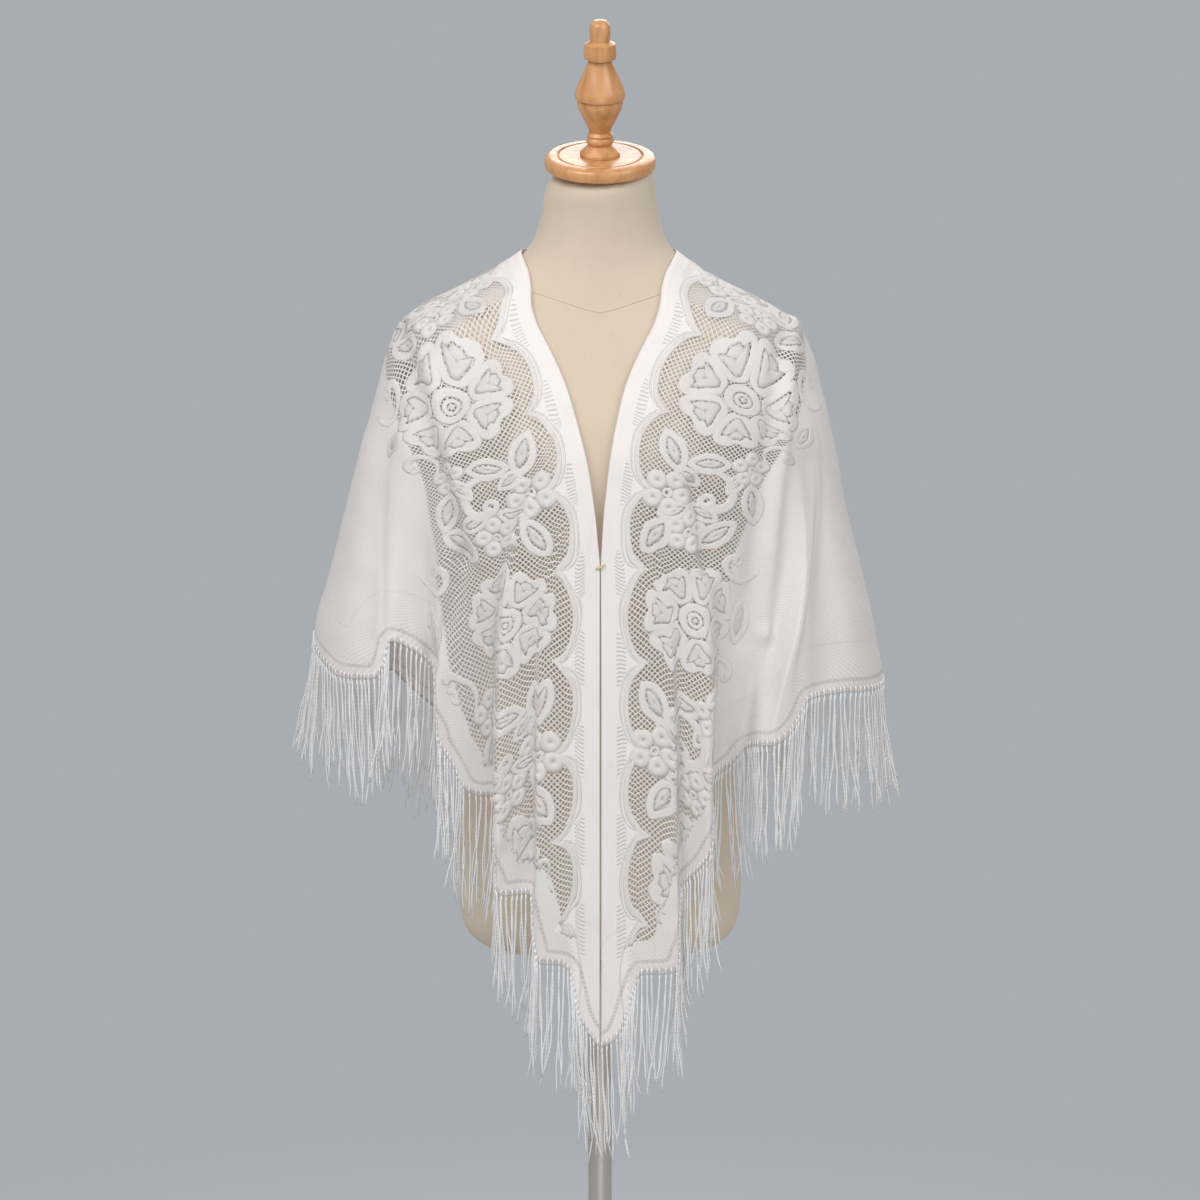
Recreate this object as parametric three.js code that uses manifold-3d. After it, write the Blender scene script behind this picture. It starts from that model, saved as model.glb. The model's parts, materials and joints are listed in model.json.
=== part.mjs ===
// A triangular lace shawl with a fringed, scalloped hem, worn open over a limbless dress form on a stand.
// Millimetres, +Z up, the front faces -Y. The origin is the middle of the base plate's underside.
import * as THREE from "three";
import { mergeVertices } from "three/addons/utils/BufferGeometryUtils.js";
import Module from "manifold-3d";

const wasm = await Module();
wasm.setup();

// Heights above the floor
const FORM_BOTTOM = 600;
const NECK_TOP = 1385.5;
// The gap that neighbouring pieces keep
const CLEARANCE = 0.3;
// The neck cap and the finial lean forward together
const CAP_TILT = THREE.MathUtils.degToRad(16);
const CAP_CENTRE_Y = -14;
const CAP_RADIUS = 54.6;
const CAP_THICKNESS = 13;
const FINIAL_LENGTH = 136;
// Stand
const POLE_RADIUS = 12;
const BASE_RADIUS = 150;
const BASE_EDGE = 7;
const BASE_CROWN = 14;
const HUB_RADIUS = 26;
const HUB_HEIGHT = 34;
const FLANGE_RADIUS = 46;
const FLANGE_THICKNESS = 6;
const SOCKET_RADIUS = 19;
const SOCKET_LENGTH = 40;
// Cloth
const CLOTH = 1.6;
const HEM_STRIP = 3;
const HEM_STRIP_THICKNESS = 2.2;
const STRIP_END_GAP = 0.6;
const HEM_GAP = 0.5;
const SCALLOP_DEPTH = 13;
const STRAND_RADIUS = 1;
const STRAND_LENGTH = 112;
const STRAND_SPACING = 8.9;
const STRAND_CLEAR = 3.4;
const TACK = { length: 8, thickness: 1.2, slant: 0.5, below: 4 };
// How finely the round and draped pieces are cut into faces
const FORM_SIDES = 24;
const TURNED_SIDES = 20;

// The dress form, one row for each section: height, half width, reach to the front and to the back, middle
const FORM_SECTIONS = [
  { z: 650, half: 144, front: 100, back: 112, middle: 0 },
  { z: 705, half: 145, front: 102, back: 114, middle: 0 },
  { z: 790, half: 135, front: 94, back: 104, middle: 0 },
  { z: 880, half: 124, front: 88, back: 92, middle: 0 },
  { z: 960, half: 131, front: 102, back: 96, middle: 0 },
  { z: 1035, half: 145, front: 124, back: 106, middle: 0 },
  { z: 1085, half: 152, front: 131, back: 112, middle: 0 },
  { z: 1130, half: 158, front: 124, back: 116, middle: 0 },
  { z: 1170, half: 172, front: 108, back: 114.5, middle: 0 },
  { z: 1200, half: 188, front: 96, back: 109.4, middle: 0 },
  { z: 1219, half: 192.6, front: 87, back: 102.3, middle: 0 },
  { z: 1234, half: 181.2, front: 79.5, back: 94.7, middle: 0 },
  { z: 1252, half: 153.6, front: 71, back: 86.3, middle: 0 },
  { z: 1270, half: 121.8, front: 65, back: 77.3, middle: 0 },
  { z: 1288, half: 90.6, front: 60, back: 68.4, middle: 0 },
  { z: 1304, half: 71.4, front: 57, back: 60.2, middle: -1 },
  { z: 1323, half: 62, front: 54, back: 54, middle: -3 },
  { z: 1350, half: 56, front: 53, back: 53, middle: -7 },
];
const FORM_CORNER = 44;
const FORM_CORNER_STEPS = 4;

// The space that the shawl fills, one row for each level
const SHAWL_LEVELS = [
  { z: 1308, left: 72, right: 70, front: 58, back: 63 },
  { z: 1292, left: 96, right: 92, front: 63, back: 73 },
  { z: 1270, left: 134, right: 127, front: 69, back: 84 },
  { z: 1252, left: 172, right: 165, front: 77, back: 93 },
  { z: 1230, left: 200, right: 197, front: 87, back: 103 },
  { z: 1200, left: 212, right: 212, front: 101, back: 113 },
  { z: 1160, left: 223, right: 221, front: 118, back: 120 },
  { z: 1110, left: 238, right: 233, front: 133, back: 125 },
  { z: 1050, left: 253, right: 244, front: 139, back: 128 },
  { z: 1000, left: 266, right: 257, front: 142, back: 131 },
  { z: 917, left: 286, right: 276, front: 146, back: 137 },
  { z: 860, left: 290, right: 283, front: 148, back: 142 },
  { z: 536, left: 290, right: 283, front: 152, back: 150 },
];

// The long edge from where the fronts meet, up the V and round the neck to the middle of the back:
// height, and degrees round the body from the front on either side
const LONG_EDGE = [
  { z: 1011, left: 0.2, right: 0.4 },
  { z: 1082, left: 1.6, right: 1.2 },
  { z: 1122, left: 3.4, right: 2.7 },
  { z: 1166, left: 7.5, right: 5.2 },
  { z: 1214, left: 11.7, right: 9.3 },
  { z: 1270, left: 26, right: 23.7 },
  { z: 1292, left: 43, right: 42 },
  { z: 1307, left: 80, right: 80 },
  { z: 1305, left: 112, right: 112 },
  { z: 1300, left: 146, right: 146 },
  { z: 1297, left: 180, right: 180 },
];

// The hanging lines of the cloth, one row for each fold, from a front edge to the middle of the back.
// edge: place in LONG_EDGE where the line starts. mid and hem: degrees round the body at two fifths of its
// drop and at its end. out: how far a ridge stands out or a valley goes in there. foot: the hem's height.
const LEFT_FOLDS = [
  { edge: 0.0, mid: 0.2, hem: 0.2, out: 0, foot: 536 },
  { edge: 0.25, mid: 1.7, hem: 1.9, out: 0, foot: 548 },
  { edge: 0.5, mid: 3.5, hem: 3.9, out: 0, foot: 567 },
  { edge: 0.7, mid: 4.7, hem: 5.1, out: 0, foot: 597 },
  { edge: 0.8, mid: 5.5, hem: 6.0, out: 0, foot: 612 },
  { edge: 1.0, mid: 7.0, hem: 7.6, out: 1, foot: 618 },
  { edge: 1.5, mid: 11.0, hem: 11.8, out: 3, foot: 620 },
  { edge: 1.65, mid: 12.2, hem: 12.6, out: 2, foot: 638 },
  { edge: 1.8, mid: 13.2, hem: 13.5, out: -6, foot: 684 },
  { edge: 2.0, mid: 14.6, hem: 15.0, out: -4, foot: 687 },
  { edge: 2.3, mid: 16.8, hem: 18.0, out: 8, foot: 687 },
  { edge: 2.6, mid: 18.8, hem: 19.6, out: 14, foot: 692 },
  { edge: 2.75, mid: 19.8, hem: 20.2, out: 2, foot: 730 },
  { edge: 2.9, mid: 20.8, hem: 20.7, out: -20, foot: 776 },
  { edge: 3.05, mid: 22.2, hem: 21.8, out: -30, foot: 779 },
  { edge: 3.4, mid: 25.5, hem: 25.4, out: -32, foot: 777 },
  { edge: 3.7, mid: 28.8, hem: 28.6, out: -29, foot: 782 },
  { edge: 4.0, mid: 32.5, hem: 31.8, out: -25, foot: 808 },
  { edge: 4.25, mid: 36.5, hem: 34.4, out: -18, foot: 832 },
  { edge: 4.45, mid: 40.5, hem: 35.3, out: -30, foot: 868 },
  { edge: 4.65, mid: 44.5, hem: 36.0, out: -37, foot: 900 },
  { edge: 5.0, mid: 52.0, hem: 41.0, out: -18, foot: 921 },
  { edge: 5.4, mid: 58.0, hem: 46.0, out: -5, foot: 929 },
  { edge: 5.55, mid: 61.0, hem: 47.6, out: -2, foot: 906 },
  { edge: 5.75, mid: 64.0, hem: 50.0, out: 2, foot: 892 },
  { edge: 6.15, mid: 70.0, hem: 60.0, out: 3, foot: 890 },
  { edge: 6.55, mid: 79.0, hem: 72.0, out: 1, foot: 902 },
  { edge: 7.1, mid: 90.0, hem: 90.0, out: 0, foot: 920 },
  { edge: 7.45, mid: 100, hem: 101, out: 5, foot: 918 },
  { edge: 7.8, mid: 110, hem: 112, out: -10, foot: 906 },
  { edge: 8.15, mid: 121, hem: 123, out: -2, foot: 892 },
  { edge: 8.5, mid: 132, hem: 134, out: 9, foot: 868 },
  { edge: 8.9, mid: 143, hem: 145, out: -3, foot: 838 },
  { edge: 9.25, mid: 155, hem: 156, out: -11, foot: 808 },
  { edge: 9.65, mid: 167, hem: 168, out: 6, foot: 782 },
  { edge: 10, mid: 180, hem: 180, out: 3, foot: 766 },
];
const RIGHT_FOLDS = [
  { edge: 0.0, mid: 0.5, hem: 0.6, out: 0, foot: 536 },
  { edge: 0.3, mid: 2.5, hem: 2.8, out: 0, foot: 543 },
  { edge: 0.6, mid: 4.4, hem: 4.9, out: 0, foot: 564 },
  { edge: 0.8, mid: 5.8, hem: 6.4, out: 1, foot: 589 },
  { edge: 1.0, mid: 7.4, hem: 8.2, out: 2, foot: 609 },
  { edge: 1.5, mid: 11.8, hem: 12.9, out: 5, foot: 610 },
  { edge: 1.75, mid: 14.2, hem: 15.3, out: 5, foot: 613 },
  { edge: 1.9, mid: 15.0, hem: 15.7, out: -2, foot: 652 },
  { edge: 2.05, mid: 15.9, hem: 16.5, out: -8, foot: 690 },
  { edge: 2.25, mid: 17.2, hem: 17.6, out: -4, foot: 699 },
  { edge: 2.5, mid: 19.2, hem: 19.4, out: 6, foot: 711 },
  { edge: 2.75, mid: 21.4, hem: 21.2, out: 13, foot: 726 },
  { edge: 2.95, mid: 23.2, hem: 22.2, out: -4, foot: 762 },
  { edge: 3.15, mid: 25.5, hem: 22.8, out: -31, foot: 795 },
  { edge: 3.5, mid: 32.0, hem: 25.5, out: -40, foot: 799 },
  { edge: 3.85, mid: 40.0, hem: 29.0, out: -41, foot: 805 },
  { edge: 4.2, mid: 47.5, hem: 32.6, out: -33, foot: 822 },
  { edge: 4.5, mid: 52.5, hem: 33.9, out: -8, foot: 829 },
  { edge: 4.75, mid: 56.0, hem: 36.0, out: 6, foot: 831 },
  { edge: 5.05, mid: 60.5, hem: 39.5, out: 5, foot: 838 },
  { edge: 5.3, mid: 64.0, hem: 43.0, out: 2, foot: 854 },
  { edge: 5.5, mid: 66.5, hem: 46.2, out: 0, foot: 872 },
  { edge: 5.8, mid: 70.0, hem: 51.0, out: -3, foot: 874 },
  { edge: 6.2, mid: 75.0, hem: 59.0, out: -2, foot: 875 },
  { edge: 6.6, mid: 81.5, hem: 72.0, out: 2, foot: 873 },
  { edge: 7.1, mid: 90.0, hem: 90.0, out: 0, foot: 876 },
  { edge: 7.45, mid: 100, hem: 101, out: -5, foot: 897 },
  { edge: 7.8, mid: 110, hem: 112, out: 6, foot: 898 },
  { edge: 8.15, mid: 121, hem: 123, out: 3, foot: 886 },
  { edge: 8.5, mid: 132, hem: 134, out: -9, foot: 862 },
  { edge: 8.9, mid: 143, hem: 145, out: -2, foot: 834 },
  { edge: 9.25, mid: 155, hem: 156, out: 9, foot: 806 },
  { edge: 9.65, mid: 167, hem: 168, out: -4, foot: 782 },
  { edge: 10, mid: 180, hem: 180, out: 3, foot: 766 },
];
// The rows at the sides of the arms, where the three stretches of cloth meet
const LEFT_SIDE = LEFT_FOLDS.findIndex((row) => row.hem === 90);
const RIGHT_SIDE = RIGHT_FOLDS.findIndex((row) => row.hem === 90);
const WHOLE_EDGE = 2 * (LONG_EDGE.length - 1);
const MID_DROP = 0.4;
// Folds start this far down a line and are full at its end
const FOLD_START = 0.12;
// How far aside, in lines, and down the cloth its facing is measured
const NORMAL_REACH = { aside: 0.4, down: 0.04 };

const FINISHES = {
  linen: { color: 0xd8cbb2, roughness: 0.9, metalness: 0 },
  wood: { color: 0xc98f50, roughness: 0.35, metalness: 0 },
  steel: { color: 0x9a9690, roughness: 0.35, metalness: 1 },
  lace: { color: 0xf1eee9, roughness: 0.75, metalness: 0 },
  thread: { color: 0xd8c4a0, roughness: 0.8, metalness: 0 },
};

// A smooth curve through evenly numbered values that never swings past them
function smoothThrough(values) {
  const rise = values.slice(1).map((value, i) => value - values[i]);
  const slope = values.map((_, i) => {
    const before = rise[Math.max(i - 1, 0)];
    const after = rise[Math.min(i, rise.length - 1)];
    return before * after > 0 ? (2 * before * after) / (before + after) : 0;
  });
  return (place) => {
    const i = Math.min(Math.max(Math.floor(place), 0), values.length - 2);
    const t = Math.min(Math.max(place - i, 0), 1);
    const bend = t * t * (3 - 2 * t);
    const start = t * (1 - t) * (1 - t);
    const end = t * t * (t - 1);
    return values[i] + rise[i] * bend + slope[i] * start + slope[i + 1] * end;
  };
}

// One smooth curve for each named column of a table
function columnsOf(rows) {
  const names = Object.keys(rows[0]);
  return Object.fromEntries(names.map((name) => [name, smoothThrough(rows.map((row) => row[name]))]));
}

// The place in a table, counted in rows, of a height among its falling heights
function placeOfHeight(rows, z) {
  const last = rows.length - 1;
  const i = rows.findIndex((_, k) => k < last && z >= rows[k + 1].z);
  if (i < 0) return last;
  return i + THREE.MathUtils.clamp((rows[i].z - z) / (rows[i].z - rows[i + 1].z), 0, 1);
}

// A closed solid from two sheets of points with the same rows and columns, one outside and one inside
function solidBetween(outer, inner) {
  const columns = outer.length;
  const rows = outer[0].length;
  const points = [...outer.flat(), ...inner.flat()];
  const at = (side, i, j) => side * columns * rows + i * rows + j;
  const faces = [];
  const quad = (a, b, c, d) => faces.push(a, b, c, a, c, d);
  for (let i = 0; i < columns - 1; i += 1) {
    for (let j = 0; j < rows - 1; j += 1) {
      quad(at(0, i, j), at(0, i + 1, j), at(0, i + 1, j + 1), at(0, i, j + 1));
      quad(at(1, i, j), at(1, i, j + 1), at(1, i + 1, j + 1), at(1, i + 1, j));
    }
    quad(at(0, i, 0), at(1, i, 0), at(1, i + 1, 0), at(0, i + 1, 0));
    quad(at(0, i, rows - 1), at(0, i + 1, rows - 1), at(1, i + 1, rows - 1), at(1, i, rows - 1));
  }
  for (let j = 0; j < rows - 1; j += 1) {
    quad(at(0, 0, j), at(0, 0, j + 1), at(1, 0, j + 1), at(1, 0, j));
    quad(at(0, columns - 1, j), at(1, columns - 1, j), at(1, columns - 1, j + 1), at(0, columns - 1, j + 1));
  }
  return geometryOf(points, faces);
}

function geometryOf(points, faces) {
  const geometry = new THREE.BufferGeometry();
  geometry.setAttribute("position", new THREE.Float32BufferAttribute(points.flatMap((p) => p.toArray()), 3));
  geometry.setIndex(faces);
  geometry.computeVertexNormals();
  return geometry;
}

// A closed solid through rings of points, flat at both ends
function solidThrough(rings) {
  const sides = rings[0].length;
  const points = rings.flat();
  const faces = [];
  rings.slice(1).forEach((_, k) => {
    for (let i = 0; i < sides; i += 1) {
      const a = k * sides + i;
      const b = k * sides + ((i + 1) % sides);
      faces.push(a, b, b + sides, a, b + sides, a + sides);
    }
  });
  const top = (rings.length - 1) * sides;
  for (let i = 1; i < sides - 1; i += 1) {
    faces.push(0, i + 1, i, top, top + i, top + i + 1);
  }
  return geometryOf(points, faces);
}

function turned(profile) {
  const points = profile.map(([radius, height]) => new THREE.Vector2(radius, height));
  return new THREE.LatheGeometry(points, TURNED_SIDES).rotateX(Math.PI / 2);
}

function named(name, geometry, finish) {
  const mesh = new THREE.Mesh(geometry, new THREE.MeshStandardMaterial(FINISHES[finish]));
  mesh.name = name;
  return mesh;
}

// The dress form's body and neck in one, with a rounded lower edge
function makeForm() {
  const ring = ({ z, half, front, back, middle }, lean = 0) =>
    Array.from({ length: FORM_SIDES }, (_, i) => {
      const angle = (2 * Math.PI * i) / FORM_SIDES;
      const across = half * Math.cos(angle);
      const along = Math.sin(angle) * (Math.sin(angle) < 0 ? front : back);
      return new THREE.Vector3(across, middle + along, z + lean * along);
    });
  const lowest = FORM_SECTIONS[0];
  const corner = Array.from({ length: FORM_CORNER_STEPS }, (_, k) => {
    const angle = (Math.PI / 2) * (k / FORM_CORNER_STEPS);
    const inset = FORM_CORNER * (1 - Math.sin(angle));
    return {
      z: FORM_BOTTOM + FORM_CORNER * (1 - Math.cos(angle)),
      half: lowest.half - inset,
      front: lowest.front - inset,
      back: lowest.back - inset,
      middle: 0,
    };
  });
  const neckTop = { z: NECK_TOP, half: 54, front: 53, back: 53, middle: CAP_CENTRE_Y };
  const rings = [...corner, ...FORM_SECTIONS].map((section) => ring(section));
  return named("form_body", solidThrough([...rings, ring(neckTop, Math.tan(CAP_TILT))]), "linen");
}

// The turned wooden disc on the neck, with a ring groove and a rounded rim
function capProfile() {
  return [
    [0, 0],
    [CAP_RADIUS - 2, 0],
    [CAP_RADIUS, 3],
    [CAP_RADIUS, CAP_THICKNESS - 5],
    [CAP_RADIUS - 2, CAP_THICKNESS - 1.4],
    [CAP_RADIUS - 6, CAP_THICKNESS],
    [43, CAP_THICKNESS],
    [41.5, CAP_THICKNESS - 1.6],
    [40, CAP_THICKNESS],
    [0, CAP_THICKNESS],
  ];
}

// The turned finial: foot, bead, bowl, broad ring, waist, collar and rounded end
function finialProfile() {
  return [
    [0, 0],
    [19.8, 0],
    [19.6, 2.4],
    [15, 6.8],
    [11.3, 10.2],
    [13.3, 12.7],
    [13.3, 16.6],
    [12.2, 18.3],
    [13, 20.5],
    [10.4, 23.4],
    [12, 28.3],
    [16.5, 37],
    [21.2, 46.8],
    [22.6, 52.6],
    [21.8, 55.8],
    [24.4, 57.9],
    [25, 61.9],
    [23.6, 66.3],
    [17.8, 80],
    [12.8, 90.7],
    [11.3, 95.5],
    [15.4, 97.5],
    [15.8, 105.3],
    [14.8, 111.7],
    [9.7, 114.5],
    [10.4, 123.8],
    [9.6, 130.6],
    [6.4, 134.5],
    [0, FINIAL_LENGTH],
  ];
}

function makeCapAndFinial() {
  const top = new THREE.Group();
  top.position.set(0, CAP_CENTRE_Y, NECK_TOP + CLEARANCE);
  top.rotation.x = CAP_TILT;
  const finial = named("finial", turned(finialProfile()), "wood");
  finial.position.z = CAP_THICKNESS + CLEARANCE;
  top.add(named("neck_cap", turned(capProfile()), "wood"), finial);
  return top;
}

function makeStand() {
  const stand = new THREE.Group();
  const bore = POLE_RADIUS + CLEARANCE;
  const flangeTop = FORM_BOTTOM - CLEARANCE;
  const socketTop = flangeTop - FLANGE_THICKNESS;
  const socketFoot = socketTop - SOCKET_LENGTH;
  const flange = turned([
    [0, flangeTop],
    [0, socketTop],
    [bore, socketTop],
    [bore, socketFoot],
    [SOCKET_RADIUS, socketFoot],
    [SOCKET_RADIUS, socketTop],
    [FLANGE_RADIUS, socketTop],
    [FLANGE_RADIUS, flangeTop],
    [0, flangeTop],
  ]);
  const poleFoot = BASE_CROWN + CLEARANCE;
  const poleTop = socketTop - CLEARANCE;
  const pole = turned([
    [0, poleFoot],
    [POLE_RADIUS, poleFoot],
    [POLE_RADIUS, poleTop],
    [0, poleTop],
  ]);
  const hub = turned([
    [bore, poleFoot],
    [HUB_RADIUS, poleFoot],
    [HUB_RADIUS, poleFoot + HUB_HEIGHT * 0.35],
    [HUB_RADIUS * 0.72, poleFoot + HUB_HEIGHT * 0.6],
    [HUB_RADIUS * 0.68, poleFoot + HUB_HEIGHT],
    [bore, poleFoot + HUB_HEIGHT],
    [bore, poleFoot],
  ]);
  const plate = turned([
    [0, 0],
    [BASE_RADIUS, 0],
    [BASE_RADIUS, BASE_EDGE - 2],
    [BASE_RADIUS - 4, BASE_EDGE],
    [HUB_RADIUS + 26, BASE_CROWN - 1.5],
    [HUB_RADIUS + 8, BASE_CROWN],
    [0, BASE_CROWN],
  ]);
  stand.add(named("pole_flange", flange, "steel"), named("pole", pole, "steel"));
  stand.add(named("base_hub", hub, "steel"), named("base_plate", plate, "steel"));
  return stand;
}

// The whole shawl as one draped surface: line counts round the body from the left front edge by the back to the
// right front edge, in rows of both tables, and drop goes from the long edge (0) to the hem (1)
class Drape {
  constructor() {
    const mirrored = RIGHT_FOLDS.slice(0, -1)
      .reverse()
      .map((row) => ({ ...row, edge: WHOLE_EDGE - row.edge, mid: 360 - row.mid, hem: 360 - row.hem }));
    this.lastLine = LEFT_FOLDS.length + mirrored.length - 1;
    this.leftSide = LEFT_SIDE;
    this.rightSide = this.lastLine - RIGHT_SIDE;
    this.folds = columnsOf([...LEFT_FOLDS, ...mirrored]);
    this.levels = columnsOf(SHAWL_LEVELS);
    const leftEdge = LONG_EDGE.map(({ z, left }) => ({ z, at: left }));
    const rightEdge = LONG_EDGE.slice(0, -1).map(({ z, right }) => ({ z, at: 360 - right }));
    this.longEdge = columnsOf([...leftEdge, ...rightEdge.reverse()]);
  }

  // The hem's height, with round scallops between the side lines at the back
  foot(line) {
    const fromSide = Math.min(line - this.leftSide, this.rightSide - line);
    const scallop = fromSide > 0 ? SCALLOP_DEPTH * Math.abs(Math.sin((Math.PI * fromSide) / 2)) : 0;
    return this.folds.foot(line) - scallop;
  }

  // The hem's height without its jumps, which the folds are timed by
  evenFoot(degrees) {
    const round = Math.min(degrees, 360 - degrees);
    return round < 45 ? 536 + (round / 45) * 360 : 896 - Math.max(round - 110, 0) * 1.8;
  }

  point(line, drop) {
    const edgePlace = this.folds.edge(line);
    const edgeZ = this.longEdge.z(edgePlace);
    const edgeAt = this.longEdge.at(edgePlace);
    const hemAt = this.folds.hem(line);
    const z = edgeZ + (this.foot(line) - edgeZ) * drop;
    const share = (edgeZ - z) / (edgeZ - this.evenFoot(hemAt));
    const degrees = this.turnAt(share, edgeAt, this.folds.mid(line), hemAt);
    const fold = this.folds.out(line) * THREE.MathUtils.smoothstep(share, FOLD_START, 1);
    return this.placed(degrees, z, fold);
  }

  // Degrees round the body on one line: its start, its middle and its end, joined smoothly
  turnAt(share, start, middle, end) {
    const upper = THREE.MathUtils.clamp(share / MID_DROP, 0, 1);
    const lower = THREE.MathUtils.smoothstep(share, MID_DROP, 1);
    return start + (middle - start) * Math.sin((upper * Math.PI) / 2) + (end - middle) * lower;
  }

  placed(degrees, z, fold) {
    const level = placeOfHeight(SHAWL_LEVELS, z);
    const angle = THREE.MathUtils.degToRad(degrees);
    const half = degrees < 180 ? this.levels.left(level) : this.levels.right(level);
    const deep = Math.cos(angle) > 0 ? this.levels.front(level) : this.levels.back(level);
    const outward = new THREE.Vector2(-Math.sin(angle) / half, -Math.cos(angle) / deep).normalize();
    return new THREE.Vector3(
      -half * Math.sin(angle) + outward.x * fold,
      -deep * Math.cos(angle) + outward.y * fold,
      z,
    );
  }

  // The direction out of the cloth's outer side
  outward(line, drop) {
    const { aside, down } = NORMAL_REACH;
    const along = this.point(Math.min(line + aside, this.lastLine), drop);
    along.sub(this.point(Math.max(line - aside, 0), drop));
    const fall = this.point(line, Math.min(drop + down, 1));
    fall.sub(this.point(line, Math.max(drop - down, 0)));
    return along.cross(fall).normalize();
  }
}

// One stretch of the cloth: its middle surface as columns of points, its ends drawn back by half the seam gap
function drapedGrid(drape, firstLine, lastLine, perRow, drops) {
  const steps = Math.round((lastLine - firstLine) * perRow);
  const lines = Array.from({ length: steps + 1 }, (_, i) => firstLine + ((lastLine - firstLine) * i) / steps);
  const middle = lines.map((line) => drops.map((drop) => drape.point(line, drop)));
  const normals = lines.map((line) => drops.map((drop) => drape.outward(line, drop)));
  drawBack(middle[0], middle[1]);
  drawBack(middle[steps], middle[steps - 1]);
  return { middle, normals };
}

function makeWall({ middle, normals }) {
  const moved = (amount) =>
    middle.map((column, i) => column.map((point, j) => point.clone().addScaledVector(normals[i][j], amount)));
  return solidBetween(moved(CLOTH / 2), moved(-CLOTH / 2));
}

function moveToward(point, target, distance) {
  point.addScaledVector(target.clone().sub(point).normalize(), distance);
}

function drawBack(column, neighbour) {
  column.forEach((point, j) => moveToward(point, neighbour[j], CLEARANCE / 2));
}

function toManifold(geometry) {
  const bare = geometry.clone();
  bare.deleteAttribute("normal");
  bare.deleteAttribute("uv");
  const merged = mergeVertices(bare, 1e-4);
  return new wasm.Manifold(
    new wasm.Mesh({
      numProp: 3,
      vertProperties: new Float32Array(merged.attributes.position.array),
      triVerts: new Uint32Array(merged.index.array),
    }),
  );
}

function fromManifold(solid) {
  const mesh = solid.getMesh();
  const geometry = new THREE.BufferGeometry();
  geometry.setAttribute("position", new THREE.BufferAttribute(Float32Array.from(mesh.vertProperties), 3));
  geometry.setIndex(Array.from(mesh.triVerts));
  geometry.computeVertexNormals();
  return geometry;
}

// The hem of one stretch, corner by corner, with the directions out of the cloth and past the hem
function hemFrames({ middle, normals }) {
  const last = middle.length - 1;
  const foot = middle[0].length - 1;
  const frames = middle.map((column, i) => {
    const along = middle[Math.min(i + 1, last)][foot].clone().sub(middle[Math.max(i - 1, 0)][foot]);
    const atEnd = i === 0 || i === last;
    const away = atEnd ? new THREE.Vector3(0, 0, -1) : along.cross(normals[i][foot]).normalize();
    if (away.z > 0) away.negate();
    return { point: column[foot].clone(), away, outward: normals[i][foot] };
  });
  moveToward(frames[0].point, frames[1].point, STRIP_END_GAP);
  moveToward(frames[last].point, frames[last - 1].point, STRIP_END_GAP);
  return frames;
}

// A narrow strip just past the hem, which the strands hang from
function makeStrip(frames) {
  const sheet = (side) =>
    frames.map(({ point, outward, away }) =>
      [HEM_GAP, HEM_GAP + HEM_STRIP].map((reach) =>
        point.clone().addScaledVector(away, reach).addScaledVector(outward, (side * HEM_STRIP_THICKNESS) / 2),
      ),
    );
  return solidBetween(sheet(1), sheet(-1));
}

function makeStrand(root, foot) {
  const ring = (centre) =>
    Array.from({ length: 3 }, (_, i) => {
      const angle = (2 * Math.PI * i) / 3 + Math.PI / 2;
      const reach = new THREE.Vector3(STRAND_RADIUS * Math.cos(angle), STRAND_RADIUS * Math.sin(angle), 0);
      return reach.add(centre);
    });
  return solidThrough([ring(foot), ring(root)]);
}

// Where the strands hang: as far apart along the hem and in plan as the spacing asks
function strandRoots(frames) {
  const roots = [];
  const end = frames[frames.length - 1].point;
  let travelled = STRAND_SPACING / 2;
  frames.slice(1).forEach((next, i) => {
    const from = frames[i];
    const length = from.point.distanceTo(next.point);
    for (let gone = 0; gone < length; gone += 1) {
      travelled += 1;
      const share = gone / length;
      const away = from.away.clone().lerp(next.away, share);
      const root = from.point.clone().lerp(next.point, share).addScaledVector(away, HEM_GAP + HEM_STRIP / 2);
      const last = roots[roots.length - 1];
      const inPlan = last ? Math.hypot(root.x - last.x, root.y - last.y) : Infinity;
      const toEnd = Math.hypot(root.x - end.x, root.y - end.y);
      if (travelled >= STRAND_SPACING && inPlan >= STRAND_CLEAR && toEnd > STRAND_CLEAR) {
        roots.push(root);
        travelled = 0;
      }
    }
  });
  return roots;
}

// Strands fused to their strip
function makeFringe(grid) {
  const frames = hemFrames(grid);
  const strands = strandRoots(frames).map((root, i) => {
    const sway = 0.4 * Math.sin(i * 2.4);
    const length = STRAND_LENGTH + 7 * Math.sin(i * 1.7);
    const splay = 8 * THREE.MathUtils.smoothstep(Math.abs(root.x), 262, 290) * Math.sign(root.x);
    return makeStrand(root, new THREE.Vector3(root.x + splay + sway, root.y, root.z - length));
  });
  const whole = strands.reduce((solid, strand) => solid.add(toManifold(strand)), toManifold(makeStrip(frames)));
  return fromManifold(whole);
}

// The thread tack that holds the two front edges together where the V closes
function makeTack(drape) {
  const left = drape.point(0, 0);
  const right = drape.point(drape.lastLine, 0);
  const tack = new THREE.BoxGeometry(TACK.length, TACK.thickness, TACK.thickness);
  tack.rotateY(-TACK.slant);
  const face = Math.min(left.y, right.y) - CLOTH / 2;
  tack.translate((left.x + right.x) / 2, face - TACK.thickness / 2 - 2 * CLEARANCE, left.z - TACK.below);
  return named("front_tack", tack, "thread");
}

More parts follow.
